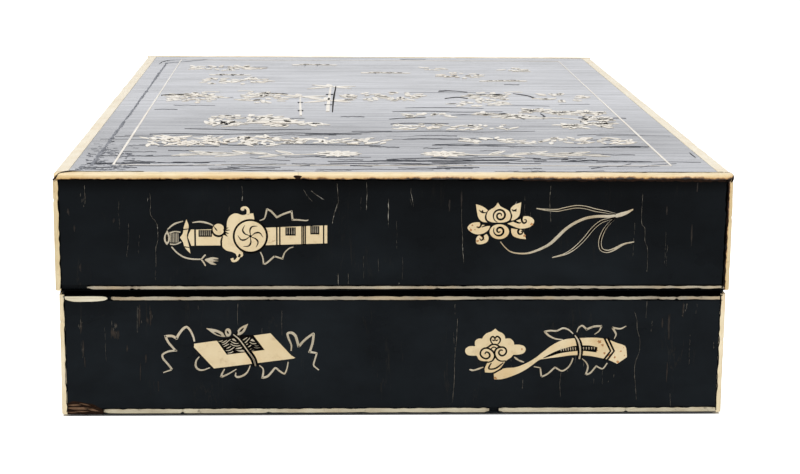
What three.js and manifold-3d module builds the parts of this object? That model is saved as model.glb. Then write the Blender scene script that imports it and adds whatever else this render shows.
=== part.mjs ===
// A black-lacquered document box whose lid lifts off. Its arrises are edged in bone, fine bone
// lines run along its seams, and bone emblems are let into the lacquer of every outer face.
// X runs along the short front, Y from front to back and Z up; the origin is under the centre.
import * as THREE from "three";
import { mergeVertices } from "three/addons/utils/BufferGeometryUtils.js";
import Module from "manifold-3d";

const wasm = await Module();
wasm.setup();

// The box, in millimetres
const LID_WIDTH = 320;
const LID_DEPTH = 500;
const LID_HEIGHT = 56;
const BASE_HEIGHT = 58.6; // up to the dark shadow line under the lid
const SHADOW_LINE_HEIGHT = 2.2;
const SHADOW_LINE_DEPTH = 1.5;
const LID_OVERHANG = 1.2; // the lid stands out past the base on every side

// Boards
const LID_WALL = 9;
const TOP_BOARD = 9;
const FLOOR_BOARD = 8;
const RIM_BOARD = 4.5; // inner boards whose tops make the lip that the lid slides over
const LIP_HEIGHT = 12; // how far the lip stands above the seat of the lid
const LIP_CHAMFER = 1;
const LID_CLEARANCE = 0.7; // between the lip and the lid's walls
const SEAT_GAP = 0.1; // air between the lid's rim and its seat
const GLUE = 0.1; // glue line between fixed pieces

// Bone edging and lines
const EDGE_WIDTH = 6.4;
const EDGE_THICKNESS = 2.7;
const EDGE_ROUND = 1.7;
const BONE_PROUD = 0.2; // bone stands this far out of the lacquer
const LINE_WIDTH = 1.9;
const LINE_DEPTH = 1.6;
const LINE_MARGIN = 0.7; // lacquer left between a line and the edge of its wall
const LID_LINE_LOST = 15; // length missing at the left of the lid's front line
const BASE_LINE_LOST = 20; // length missing at the left of the base's lowest front line
const BORDER_INSET = 25; // from the lid's edge to the fine rectangle on its top
const BORDER_WIDTH = 1.3;
const BORDER_DEPTH = 1;

// Paper lining
const LINING = 0.6;
const LINING_SETBACK = 2; // the lining stops this far short of the lip's top, on either side

// Emblems
const INLAY_DEPTH = 1.2;
const INLAY_CLEARANCE = 0.3; // between a plate's side and its pocket
const EMBLEM_FIELD = 100; // side of the square that a wall emblem is drawn in
const SWORD_IN = 89.6; // from the lid's left face to the emblem's centre; its rise is from the lower edge
const SWORD_RISE = 27.1;
const LOTUS_IN = 86.4;
const LOTUS_RISE = 30.1;
const SCROLL_IN = 86.4;
const SCROLL_RISE = 30.2;
const RUYI_IN = 87;
const RUYI_RISE = 30.1;
const PLAIN_IN = 87.5; // the emblems of the other walls
const PLAIN_RISE = 28.2;

// Garden on the lid's top: distances from the border line to each inlay's centre
const SPRAY_APART = 22; // between the two sprays' fields, which meet at the middle
const SPRAY_CLEAR = 26; // from the border line to the tip of a spray
const SPRAY_BACK = 37;
const ROCK_IN = 61;
const ROCK_BACK = 145;
const BAMBOO_IN = 95;
const BAMBOO_BACK = 237;
const PINE_IN = 63;
const PINE_BACK = 195;
const CUT_OVERRUN = 1; // how far cutting blocks run past what they cut
const ROUND_STEPS = 5; // flats in a quarter round
const CURVE_STEPS = 2; // flats between two drawn points of a curve
const DISC_SIDES = 20;
const SMALL_DISC_SIDES = 12;
const LEAST_CORNER_SHARE = 0.5; // keeps the grown tip of a sharp corner short

// Worked out from the sizes above
const BASE_WIDTH = LID_WIDTH - 2 * LID_OVERHANG;
const BASE_DEPTH = LID_DEPTH - 2 * LID_OVERHANG;
const SEAT_HEIGHT = BASE_HEIGHT + SHADOW_LINE_HEIGHT;
const LID_LAP = LID_WALL / 2;
const RIM_OFFSET = LID_WALL + LID_CLEARANCE - LID_OVERHANG; // base's face to the lip's outer face
const BASE_WALL = RIM_OFFSET - GLUE;
const BASE_LAP = BASE_WALL / 2;
const GARDEN_LEFT = BORDER_INSET - LID_WIDTH / 2;
const GARDEN_RIGHT = -GARDEN_LEFT;
const GARDEN_FRONT = BORDER_INSET - LID_DEPTH / 2;
const SPRAY_LENGTH = GARDEN_RIGHT - SPRAY_APART / 2 - SPRAY_CLEAR;
const SPRAY_MIDDLE = (SPRAY_APART + SPRAY_LENGTH) / 2;
const CURVED = 0;
const SHARP = 1; // marks a drawn point where the outline has a corner

// Materials
const finish = (color, roughness) => new THREE.MeshStandardMaterial({ color, roughness, metalness: 0 });
const lacquer = () => finish(0x15171b, 0.25);
const innerLacquer = () => finish(0x1d1512, 0.4);
const bone = () => finish(0xecd9b0, 0.45);
const paper = () => finish(0xcdbb94, 0.9);

// Solids. A solid is made from a closed three.js geometry and cut or joined exactly.
function solidOf(geometry) {
  const bare = geometry.index ? geometry.toNonIndexed() : geometry.clone();
  bare.deleteAttribute("normal");
  bare.deleteAttribute("uv");
  const merged = mergeVertices(bare);
  return new wasm.Manifold(
    new wasm.Mesh({
      numProp: 3,
      vertProperties: merged.attributes.position.array,
      triVerts: new Uint32Array(merged.index.array),
    }),
  );
}

function block([x0, x1], [y0, y1], [z0, z1]) {
  const box = new THREE.BoxGeometry(x1 - x0, y1 - y0, z1 - z0);
  return solidOf(box.translate((x0 + x1) / 2, (y0 + y1) / 2, (z0 + z1) / 2));
}

const cut = (solid, ...tools) => tools.reduce((rest, tool) => rest.subtract(tool), solid);
const join = (...solids) => solids.reduce((whole, solid) => whole.add(solid));

function piece(parent, name, solid, material) {
  const { numProp, numVert, vertProperties, triVerts } = solid.getMesh();
  const places = new Float32Array(numVert * 3);
  for (let i = 0; i < numVert; i += 1) {
    places.set(vertProperties.subarray(i * numProp, i * numProp + 3), i * 3);
  }
  const geometry = new THREE.BufferGeometry();
  geometry.setAttribute("position", new THREE.BufferAttribute(places, 3));
  geometry.setIndex(new THREE.BufferAttribute(triVerts, 1));
  const mesh = new THREE.Mesh(geometry.toNonIndexed(), material);
  mesh.geometry.computeVertexNormals();
  mesh.name = name;
  parent.add(mesh);
  return mesh;
}

// Outlines are lists of [u, v] points in millimetres, counter-clockwise.
function smooth(drawn) {
  const start = drawn.findIndex((point) => point[2] === SHARP);
  const closed = start < 0;
  const turned = closed ? drawn : [...drawn.slice(start), ...drawn.slice(0, start)];
  if (closed) {
    const ring = new THREE.CatmullRomCurve3(turned.map(([u, v]) => new THREE.Vector3(u, v, 0)), true);
    return ring.getPoints(turned.length * CURVE_STEPS).slice(0, -1).map(({ x, y }) => [x, y]);
  }
  const outline = [];
  let span = [];
  for (const point of [...turned, turned[0]]) {
    span.push(new THREE.Vector2(point[0], point[1]));
    if (point[2] === SHARP && span.length > 1) {
      const steps = span.length === 2 ? 1 : (span.length - 1) * CURVE_STEPS;
      outline.push(...new THREE.SplineCurve(span).getPoints(steps).slice(0, -1));
      span = [span.at(-1)];
    }
  }
  return outline.map(({ x, y }) => [x, y]);
}

const area = (outline) =>
  outline.reduce((sum, [u, v], i) => {
    const [nextU, nextV] = outline[(i + 1) % outline.length];
    return sum + (u * nextV - nextU * v) / 2;
  }, 0);

const facingOut = (outline) => (area(outline) < 0 ? [...outline].reverse() : outline);

// Moves every point out along the mean of its two edges' normals.
function grown(outline, by) {
  const turned = facingOut(outline);
  return turned.map(([u, v], i) => {
    const before = turned.at(i - 1);
    const after = turned[(i + 1) % turned.length];
    const first = new THREE.Vector2(v - before[1], before[0] - u).normalize();
    const second = new THREE.Vector2(after[1] - v, u - after[0]).normalize();
    const out = first.add(second);
    const reach = by / Math.max(out.length() / 2, LEAST_CORNER_SHARE);
    out.normalize();
    return [u + out.x * reach, v + out.y * reach];
  });
}

const inField = (size, shares) => shares.map(([u, v, kind]) => [u * size, v * size, kind ?? CURVED]);
const moved = (outline, du, dv) => outline.map(([u, v]) => [u + du, v + dv]);
const mirrored = (outline) => outline.map(([u, v]) => [-u, v]);

function circle([u, v], radius, sides = DISC_SIDES) {
  return Array.from({ length: sides }, (_, i) => {
    const angle = (2 * Math.PI * i) / sides;
    return [u + radius * Math.cos(angle), v + radius * Math.sin(angle)];
  });
}

// A band along a drawn path, as wide as its widths say from its first point to its last.
function ribbon(path, widths, extra = 0) {
  const curve = new THREE.SplineCurve(path.map(([u, v]) => new THREE.Vector2(u, v)));
  const count = (path.length - 1) * CURVE_STEPS;
  const sides = [[], []];
  for (let i = 0; i <= count; i += 1) {
    const along = i / count;
    const spot = curve.getPoint(along);
    const heading = curve.getTangent(along);
    const place = along * (widths.length - 1);
    const step = Math.min(Math.floor(place), widths.length - 2);
    const half = THREE.MathUtils.lerp(widths[step], widths[step + 1], place - step) / 2 + extra;
    const end = (i === count) - (i === 0);
    const u = spot.x + heading.x * extra * end;
    const v = spot.y + heading.y * extra * end;
    sides[0].push([u + heading.y * half, v - heading.x * half]);
    sides[1].unshift([u - heading.y * half, v + heading.x * half]);
  }
  return sides.flat();
}

// A leaf between two points: two arcs that meet in a tip at either end.
function leaf([u0, v0], [u1, v1], width, flats = 6) {
  const along = new THREE.Vector2(u1 - u0, v1 - v0);
  const across = new THREE.Vector2(-along.y, along.x).normalize();
  const side = (sign) =>
    Array.from({ length: flats }, (_, i) => {
      const share = i / flats;
      const bulge = (sign * width * Math.sin(Math.PI * share)) / 2;
      return [u0 + along.x * share + across.x * bulge, v0 + along.y * share + across.y * bulge];
    });
  const back = side(1).slice(1).reverse();
  return [...side(-1), [u1, v1], ...back];
}

// A ring of petals: the radius swells and sinks round the middle.
function blossom(u, v, radius, petals, swell) {
  const count = petals * 4;
  return Array.from({ length: count }, (_, i) => {
    const angle = (2 * Math.PI * i) / count;
    const reach = radius * (1 + swell * Math.cos(petals * angle));
    return [u + reach * Math.cos(angle), v + reach * Math.sin(angle)];
  });
}

function prism(outline, from, to, holes = []) {
  const shape = new THREE.Shape(facingOut(outline).map(([u, v]) => new THREE.Vector2(u, v)));
  for (const hole of holes) {
    const turned = facingOut(hole).reverse();
    shape.holes.push(new THREE.Path(turned.map(([u, v]) => new THREE.Vector2(u, v))));
  }
  const body = new THREE.ExtrudeGeometry(shape, { depth: to - from, bevelEnabled: false });
  return solidOf(body.translate(0, 0, from));
}

// Emblems. Each gives its outlines in its own plane, grown by extra for the pocket round it.
// Points are shares of the emblem field, read off the real emblem from its centre.
const grownAll = (outlines, extra) => outlines.map((outline) => (extra ? grown(outline, extra) : outline));
const drawn = (shares) => smooth(inField(EMBLEM_FIELD, shares));
const at = (shares) => shares.map((share) => share * EMBLEM_FIELD);

const SCABBARD_SHARES = [
  [-0.255, -0.054, SHARP], [0.382, -0.043, SHARP], [0.382, 0.041, SHARP], [-0.255, 0.023, SHARP],
];
const CLOUD_SHARES = [
  [0.034, 0.102, SHARP], [0.036, 0.05, SHARP], [-0.03, -0.06, SHARP], [-0.016, -0.09, SHARP],
  [-0.02, -0.104], [-0.047, -0.107], [-0.052, -0.09], [-0.074, -0.082], [-0.1, -0.074],
  [-0.112, -0.055], [-0.11, -0.03], [-0.104, 0], [-0.092, 0.027], [-0.088, 0.052],
  [-0.08, 0.08], [-0.06, 0.098], [-0.036, 0.099], [-0.014, 0.094], [0.01, 0.099],
];
const UPPER_HOOK_SHARES = [
  [0.006, 0.096], [0.013, 0.118], [0.001, 0.132], [-0.016, 0.129], [-0.019, 0.116],
];
const LOWER_HOOK_SHARES = [[-0.034, -0.1], [-0.042, -0.12], [-0.056, -0.129], [-0.072, -0.121]];
const GUARD_SHARES = [
  [-0.277, 0.074, SHARP], [-0.268, 0.049], [-0.271, 0.021], [-0.25, -0.007], [-0.265, -0.037],
  [-0.262, -0.062], [-0.262, -0.091, SHARP], [-0.287, -0.058], [-0.292, -0.036],
  [-0.309, -0.015, SHARP], [-0.293, 0.011], [-0.288, 0.031],
];
const HOOK_WIDTH = 1.3;
const DISC_SHARES = [0.019, -0.007];
const DISC_RADIUS = 7.4;
const KNOB_SHARES = [-0.131, 0.027];
const KNOB_RADIUS = 2.7;
function sword(extra) {
  const plates = [drawn(SCABBARD_SHARES), drawn(CLOUD_SHARES), drawn(GUARD_SHARES)];
  plates.push(circle(at(DISC_SHARES), DISC_RADIUS), circle(at(KNOB_SHARES), KNOB_RADIUS, SMALL_DISC_SIDES));
  const hooks = [UPPER_HOOK_SHARES, LOWER_HOOK_SHARES].map((shares) =>
    ribbon(inField(EMBLEM_FIELD, shares), [HOOK_WIDTH, HOOK_WIDTH], extra),
  );
  return [...grownAll(plates, extra), ...hooks];
}

const LOTUS_SHARES = [
  [-0.249, 0.122, SHARP], [-0.27, 0.091], [-0.298, 0.08, SHARP], [-0.326, 0.108], [-0.354, 0.118, SHARP],
  [-0.348, 0.069], [-0.337, 0.047], [-0.32, 0.03, SHARP], [-0.354, 0.029], [-0.379, 0.019],
  [-0.393, 0.002, SHARP], [-0.379, -0.013], [-0.354, -0.026], [-0.328, -0.03, SHARP], [-0.346, -0.05],
  [-0.343, -0.075, SHARP], [-0.321, -0.074], [-0.301, -0.067], [-0.285, -0.045, SHARP], [-0.265, -0.049],
  [-0.242, -0.052], [-0.215, -0.046], [-0.185, -0.03, SHARP], [-0.15, -0.043], [-0.115, -0.051, SHARP],
  [-0.123, -0.026], [-0.137, -0.005, SHARP], [-0.109, 0.003], [-0.087, 0.016], [-0.075, 0.036],
  [-0.082, 0.047], [-0.109, 0.059], [-0.137, 0.052, SHARP], [-0.142, 0.086], [-0.14, 0.124, SHARP],
  [-0.171, 0.116], [-0.195, 0.09, SHARP], [-0.229, 0.097],
];
const lotusFlower = (extra) => grownAll([drawn(LOTUS_SHARES)], extra);

const STEM_SHARES = [
  [-0.234, -0.066], [-0.182, -0.114], [-0.137, -0.123], [-0.093, -0.119], [-0.037, -0.098],
  [0.013, -0.067], [0.085, 0.005], [0.129, 0.033], [0.174, 0.052], [0.279, 0.059], [0.391, 0.092],
];
const STEM_WIDTHS = [0.6, 0.9, 1.3, 1.5, 2, 1];
const BLADE_SHARES = [
  [[0.31, 0.066], [0.196, 0.096], [0.096, 0.103], [0.007, 0.084], [-0.068, 0.096]],
  [[0.31, 0.055], [0.252, 0.036], [0.174, -0.031], [0.096, -0.109], [0.013, -0.141]],
  [[0.318, 0.052], [0.249, -0.026], [0.235, -0.059], [0.252, -0.112], [0.313, -0.103], [0.402, -0.066]],
];
const BLADE_WIDTHS = [1.6, 1.6, 1.6, 0.5];
function lotusStem(extra) {
  const blades = BLADE_SHARES.map((shares) => ribbon(inField(EMBLEM_FIELD, shares), BLADE_WIDTHS, extra));
  return [ribbon(inField(EMBLEM_FIELD, STEM_SHARES), STEM_WIDTHS, extra), ...blades];
}

const SCROLL_SHARES = [
  [-0.219, 0.044, SHARP], [-0.22, 0.025, SHARP], [-0.128, -0.074, SHARP], [0.08, -0.044, SHARP],
  [0.261, -0.022, SHARP], [0.241, -0.006, SHARP], [0.15, 0.096, SHARP], [0.065, 0.086, SHARP],
  [0.114, 0.017, SHARP], [-0.065, -0.007, SHARP], [-0.111, 0.06, SHARP],
];
const scroll = (extra) => grownAll([drawn(SCROLL_SHARES)], extra);

const RUYI_HEAD_SHARES = [
  [-0.245, 0.119, SHARP], [-0.26, 0.104], [-0.277, 0.101], [-0.299, 0.086], [-0.306, 0.068, SHARP],
  [-0.327, 0.067], [-0.343, 0.053], [-0.343, 0.031, SHARP], [-0.363, 0.031], [-0.385, 0.023],
  [-0.388, 0.006], [-0.366, -0.014], [-0.332, -0.011, SHARP], [-0.327, -0.022], [-0.31, -0.039],
  [-0.277, -0.039], [-0.27, -0.055, SHARP], [-0.291, -0.075], [-0.289, -0.096, SHARP],
  [-0.249, -0.097], [-0.221, -0.072], [-0.2, -0.045, SHARP], [-0.188, -0.039], [-0.166, -0.028],
  [-0.154, -0.01, SHARP], [-0.132, -0.01], [-0.107, 0], [-0.1, 0.022], [-0.121, 0.038],
  [-0.152, 0.038, SHARP], [-0.154, 0.053], [-0.171, 0.069], [-0.196, 0.069, SHARP],
  [-0.204, 0.092], [-0.227, 0.1],
];
const ruyiHead = (extra) => grownAll([drawn(RUYI_HEAD_SHARES)], extra);

const RUYI_HANDLE_SHARES = [
  [-0.246, -0.125, SHARP], [-0.193, -0.127], [-0.143, -0.111], [-0.088, -0.081], [-0.032, -0.044],
  [0.062, -0.018], [0.173, -0.014], [0.284, -0.032], [0.343, -0.057, SHARP], [0.392, -0.028, SHARP],
  [0.393, -0.006], [0.384, 0.033], [0.357, 0.05], [0.257, 0.071], [0.146, 0.071], [0.09, 0.057],
  [0.034, 0.025], [-0.01, -0.008], [-0.054, -0.039], [-0.143, -0.073], [-0.199, -0.078],
  [-0.246, -0.104, SHARP],
];
const ruyiHandle = (extra) => grownAll([drawn(RUYI_HANDLE_SHARES)], extra);

const GOURD_BULB_SHARES = [0.12, 0];
const GOURD_BULB_RADIUS = 9;
const GOURD_TOP_SHARES = [-0.02, 0];
const GOURD_TOP_RADIUS = 6;
const NECK_SHARES = [[-0.06, 0], [-0.14, 0.004], [-0.21, 0.022]];
const NECK_WIDTHS = [4, 1.6, 2.4];
function gourd(extra) {
  const bulbs = [
    circle(at(GOURD_BULB_SHARES), GOURD_BULB_RADIUS), circle(at(GOURD_TOP_SHARES), GOURD_TOP_RADIUS),
  ];
  return [...grownAll(bulbs, extra), ribbon(inField(EMBLEM_FIELD, NECK_SHARES), NECK_WIDTHS, extra)];
}

const FAN_SHARES = [
  [-0.29, 0, SHARP], [-0.24, -0.05], [-0.14, -0.098], [-0.03, -0.09], [0.03, -0.045], [0.05, 0, SHARP],
  [0.03, 0.045], [-0.03, 0.09], [-0.14, 0.098], [-0.24, 0.05],
];
const FAN_HANDLE_SHARES = [[0.03, 0], [0.32, 0]];
const FAN_HANDLE_WIDTHS = [2.4, 1.8];
function fan(extra) {
  const handle = ribbon(inField(EMBLEM_FIELD, FAN_HANDLE_SHARES), FAN_HANDLE_WIDTHS, extra);
  return [...grownAll([drawn(FAN_SHARES)], extra), handle];
}

const COIN_RADIUS = 9;
const COIN_OFFSET = 7.5;
function coins(extra) {
  return [-COIN_OFFSET, COIN_OFFSET].map((u) => circle([u, 0], COIN_RADIUS + extra));
}

const LOZENGE_HALF_WIDTH = 15;
const LOZENGE_HALF_HEIGHT = 9.5;
const LOZENGE_OFFSET = 8;
function lozenge(share) {
  const [u, v] = [LOZENGE_HALF_WIDTH * share, LOZENGE_HALF_HEIGHT * share];
  return [[u, 0], [0, v], [-u, 0], [0, -v]];
}
function lozenges(extra) {
  return grownAll([-LOZENGE_OFFSET, LOZENGE_OFFSET].map((u) => moved(lozenge(1), u, 0)), extra);
}

const LEAF_LENGTH = 46;
const LEAF_LOBE = 9;
const LEAF_PAIRS = 3;
const LEAF_FIRST_SHARE = 0.6; // of the space between two pairs, from the leaf's end to its first pair
function lobedLeaf(extra) {
  const half = LEAF_LENGTH / 2;
  const lobes = Array.from({ length: LEAF_PAIRS }, (_, i) => {
    const root = (LEAF_LENGTH * (i + LEAF_FIRST_SHARE)) / (LEAF_PAIRS + 1) - half;
    const tip = root + LEAF_LOBE;
    return [LEAF_LOBE, -LEAF_LOBE].map((reach) => leaf([root, 0], [tip, reach], LEAF_LOBE / 2));
  });
  return grownAll([leaf([-half, 0], [half, 0], LEAF_LOBE), ...lobes.flat()], extra);
}

const CHIME_SHARES = [
  [-0.22, -0.03, SHARP], [-0.18, -0.085, SHARP], [0, 0.025, SHARP], [0.18, -0.085, SHARP],
  [0.22, -0.03, SHARP], [0.03, 0.09, SHARP], [-0.03, 0.09, SHARP],
];
const chime = (extra) => grownAll([drawn(CHIME_SHARES)], extra);

// Pieces of the garden on the lid's top. A spray is a blossom with a leafy stem to its left.
const BLOSSOM_RADIUS = 13;
const BLOSSOM_PETALS = 9;
const BLOSSOM_SWELL_SHARE = 0.14;
const SPRAY_WIDTHS = [2.4, 1.6, 1];
const SPRAY_STEM_SHARES = [[0.3, 0], [0.05, -0.05], [-0.2, 0.02], [-0.46, -0.03]];
const SPRAY_LEAF_SHARES = [
  [0.12, -0.04, 0.02, 0.13], [0.06, -0.04, -0.06, -0.15], [-0.08, -0.02, -0.2, 0.12],
  [-0.12, 0, -0.28, -0.12], [-0.28, 0, -0.42, 0.1], [-0.34, -0.01, -0.5, -0.09],
];
const SPRAY_LEAF_WIDTH = 6.5;
const SPRAY_FLOWER_SHARE = 0.34;
function spray(extra) {
  const middle = SPRAY_FLOWER_SHARE * SPRAY_LENGTH;
  const flower = blossom(middle, 0, BLOSSOM_RADIUS, BLOSSOM_PETALS, BLOSSOM_SWELL_SHARE);
  const leaves = SPRAY_LEAF_SHARES.map((shares) => {
    const [u0, v0, u1, v1] = shares.map((share) => share * SPRAY_LENGTH);
    return leaf([u0, v0], [u1, v1], SPRAY_LEAF_WIDTH);
  });
  const stem = ribbon(inField(SPRAY_LENGTH, SPRAY_STEM_SHARES), SPRAY_WIDTHS, extra);
  return [...grownAll([flower, ...leaves], extra), stem];
}

const ROCK_SIZE = 62;
const ROCK_SHARES = [
  [-0.5, -0.34, SHARP], [0.48, -0.36, SHARP], [0.42, -0.2], [0.3, -0.12], [0.36, 0.02], [0.24, 0.08],
  [0.2, 0.24], [0.06, 0.28], [0, 0.4], [-0.14, 0.36], [-0.16, 0.2], [-0.3, 0.16], [-0.26, 0],
  [-0.42, -0.08], [-0.38, -0.24],
];
const rock = (extra) => grownAll([smooth(inField(ROCK_SIZE, ROCK_SHARES))], extra);

const BAMBOO_HEIGHT = 125;
const BAMBOO_STEM_WIDTHS = [2.6, 2.2, 1.4];
const BAMBOO_STEM_SHARES = [
  [[0.04, -0.5], [-0.07, -0.1], [-0.08, 0.18]],
  [[-0.02, -0.5], [0.05, -0.1], [0.07, 0.5]],
];
const BAMBOO_LEAF_SHARES = [
  [-0.08, 0.17, -0.2, 0.06], [-0.08, 0.17, -0.16, 0.26], [-0.08, 0.17, 0, 0.28],
  [0.065, 0.3, 0.2, 0.22], [0.065, 0.3, -0.05, 0.38], [0.07, 0.48, 0.19, 0.42], [0.07, 0.48, 0, 0.52],
];
const BAMBOO_LEAF_WIDTH = 4.5;
function bamboo(extra) {
  const stems = BAMBOO_STEM_SHARES.map((shares) =>
    ribbon(inField(BAMBOO_HEIGHT, shares), BAMBOO_STEM_WIDTHS, extra),
  );
  const leaves = BAMBOO_LEAF_SHARES.map((shares) => {
    const [u0, v0, u1, v1] = shares.map((share) => share * BAMBOO_HEIGHT);
    return leaf([u0, v0], [u1, v1], BAMBOO_LEAF_WIDTH);
  });
  return [...stems, ...grownAll(leaves, extra)];
}

const PINE_HEIGHT = 130;
const PINE_TRUNK_SHARES = [[0.3, -0.5], [0.18, -0.26], [0.24, -0.02], [0.02, 0.16], [0.06, 0.44]];
const PINE_TRUNK_WIDTHS = [8, 6.5, 5, 3];
const PINE_BOUGH_SHARES = [[0.2, -0.14], [0.02, -0.12], [-0.2, -0.2]];
const PINE_BOUGH_WIDTHS = [3.5, 2.5, 2];
const PINE_TUFT_SHARES = [
  [0.06, 0.42], [0.15, 0.16], [-0.06, 0.2], [0.1, -0.02], [-0.19, -0.18], [0.27, -0.12],
];
const PINE_TUFT_RADIUS = 14;
const PINE_TUFT_LOBES = 7;
const PINE_TUFT_SWELL_SHARE = 0.1;
function pine(extra) {
  const trunk = ribbon(inField(PINE_HEIGHT, PINE_TRUNK_SHARES), PINE_TRUNK_WIDTHS, extra);
  const bough = ribbon(inField(PINE_HEIGHT, PINE_BOUGH_SHARES), PINE_BOUGH_WIDTHS, extra);
  const tufts = inField(PINE_HEIGHT, PINE_TUFT_SHARES).map(([u, v]) =>
    blossom(u, v, PINE_TUFT_RADIUS, PINE_TUFT_LOBES, PINE_TUFT_SWELL_SHARE),
  );
  return [trunk, bough, ...grownAll(tufts, extra)];
}

// A plate and the pocket that holds it, both lying on the plane w = 0 with w out of the face.
function plateOf(emblem, place = (outline) => outline) {
  const outlines = emblem(0).map(place);
  return join(...outlines.map((outline) => prism(outline, -INLAY_DEPTH + BONE_PROUD, BONE_PROUD)));
}

function pocketOf(emblem, place = (outline) => outline) {
  const floor = -INLAY_DEPTH + BONE_PROUD - GLUE;
  const outlines = emblem(INLAY_CLEARANCE).map(place);
  return join(...outlines.map((outline) => prism(outline, floor, CUT_OVERRUN)));
}

// Coins and lozenges are pierced after their outlines are joined.
const COIN_HOLE_RADIUS = 3.4;
const COIN_HOLE_SIDES = 4;
const LOZENGE_HOLE_SHARE = 0.66;
const PIERCED = new Map([
  [coins, () => [-COIN_OFFSET, COIN_OFFSET].map((u) => circle([u, 0], COIN_HOLE_RADIUS, COIN_HOLE_SIDES))],
  [lozenges, () => [-LOZENGE_OFFSET, LOZENGE_OFFSET].map((u) => moved(lozenge(LOZENGE_HOLE_SHARE), u, 0))],
]);

// Walls stand in a frame of their own: x runs along the wall as seen from outside, y runs into
// the box from the bone's outer face, and z runs up from the wall's lower edge.
const SIDES = [
  { name: "front", turn: 0, through: true },
  { name: "right", turn: Math.PI / 2, through: false },
  { name: "back", turn: Math.PI, through: true },
  { name: "left", turn: -Math.PI / 2, through: false },
];

function wallFrame(parent, side, width, depth) {
  const frame = new THREE.Group();
  frame.rotation.z = side.turn;
  const reach = side.through ? depth / 2 : width / 2;
  frame.position.set(Math.sin(side.turn) * reach, -Math.cos(side.turn) * reach, 0);
  parent.add(frame);
  return frame;
}

// Emblem pockets, turned from the emblem's plane onto the wall's face.
function wallPockets(emblems) {
  return emblems.map(({ emblem, place: [along, rise] }) =>
    pocketOf(emblem).rotate([90, 0, 0]).translate([along, BONE_PROUD, rise]),
  );
}

function wallPlates(frame, emblems) {
  for (const { name, emblem, place: [along, rise] } of emblems) {
    const pierced = PIERCED.has(emblem) ? PIERCED.get(emblem)() : [];
    const holes = pierced.map((outline) => prism(outline, -INLAY_DEPTH - CUT_OVERRUN, CUT_OVERRUN));
    const plate = piece(frame, name, cut(plateOf(emblem), ...holes), bone());
    plate.rotation.x = Math.PI / 2;
    plate.position.set(along, BONE_PROUD, rise);
  }
}

// The strip at a corner covers this much of the wall's length and of its thickness.
const cornerOnWall = (side) =>
  side.through ? { along: EDGE_THICKNESS, deep: EDGE_WIDTH } : { along: EDGE_WIDTH, deep: EDGE_THICKNESS };

function lineGroove(length, bottom) {
  const past = length / 2 + CUT_OVERRUN;
  const heights = [bottom - GLUE, bottom + LINE_WIDTH + GLUE];
  return block([-past, past], [-CUT_OVERRUN, LINE_DEPTH + GLUE], heights);
}

function lineStrip(length, side, bottom, lost) {
  const end = length / 2 - cornerOnWall(side).along - GLUE;
  return block([-end + lost, end], [0, LINE_DEPTH], [bottom, bottom + LINE_WIDTH]);
}

// A board's two laps: it keeps its outer half at the corner, or gives that half to its neighbour.
function boardEnd(length, side, lap, wall) {
  return side.through ? length / 2 - wall - GLUE : length / 2 - lap - GLUE;
}

function quarterRound(width, height, radius) {
  const shape = new THREE.Shape();
  shape.moveTo(width, 0);
  shape.lineTo(width, height);
  shape.lineTo(radius, height);
  shape.absarc(radius, height - radius, radius, Math.PI / 2, Math.PI, false);
  shape.lineTo(0, 0);
  return shape;
}

// Rounds off the two outer upright corners at the ends of a strip along a whole side.
function roundedPlan(length, bottom, top) {
  const half = length / 2;
  const deep = length;
  const shape = new THREE.Shape();
  shape.moveTo(-half, EDGE_ROUND);
  shape.absarc(EDGE_ROUND - half, EDGE_ROUND, EDGE_ROUND, Math.PI, 1.5 * Math.PI, false);
  shape.absarc(half - EDGE_ROUND, EDGE_ROUND, EDGE_ROUND, 1.5 * Math.PI, 2 * Math.PI, false);
  shape.lineTo(half, deep);
  shape.lineTo(-half, deep);
  const body = new THREE.ExtrudeGeometry(shape, {
    depth: top - bottom, bevelEnabled: false, curveSegments: ROUND_STEPS,
  });
  return solidOf(body.translate(0, 0, bottom));
}

// The bone strip along a top arris, its profile in y and z carried along x.
function topEdge(length, through) {
  const long = through ? length : length - 2 * (EDGE_WIDTH + GLUE);
  const profile = quarterRound(EDGE_WIDTH, EDGE_THICKNESS, EDGE_ROUND);
  const bar = new THREE.ExtrudeGeometry(profile, {
    depth: long, bevelEnabled: false, curveSegments: ROUND_STEPS,
  });
  bar.translate(0, 0, -long / 2);
  bar.applyMatrix4(new THREE.Matrix4().makeBasis(
    new THREE.Vector3(0, 1, 0), new THREE.Vector3(0, 0, 1), new THREE.Vector3(1, 0, 0),
  ));
  bar.translate(0, 0, LID_HEIGHT - EDGE_THICKNESS);
  const strip = solidOf(bar);
  return through ? strip.intersect(roundedPlan(length, -CUT_OVERRUN, LID_HEIGHT + CUT_OVERRUN)) : strip;
}

// The upright bone strip at the left end of a front or back wall.
function cornerStrip(length, bottom, top) {
  const profile = new THREE.Shape();
  profile.moveTo(EDGE_ROUND, 0);
  profile.lineTo(EDGE_THICKNESS, 0);
  profile.lineTo(EDGE_THICKNESS, EDGE_WIDTH);
  profile.lineTo(0, EDGE_WIDTH);
  profile.absarc(EDGE_ROUND, EDGE_ROUND, EDGE_ROUND, Math.PI, 1.5 * Math.PI, false);
  const body = new THREE.ExtrudeGeometry(profile, {
    depth: top - bottom, bevelEnabled: false, curveSegments: ROUND_STEPS,
  });
  return solidOf(body.translate(-length / 2, 0, bottom));
}

function cornerNotches(length, side, top) {
  const { along, deep } = cornerOnWall(side);
  const inner = length / 2 - along - GLUE;
  const outer = length / 2 + CUT_OVERRUN;
  return [[-outer, -inner], [inner, outer]].map((range) =>
    block(range, [-CUT_OVERRUN, deep + GLUE], [-CUT_OVERRUN, top]),
  );
}

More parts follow.
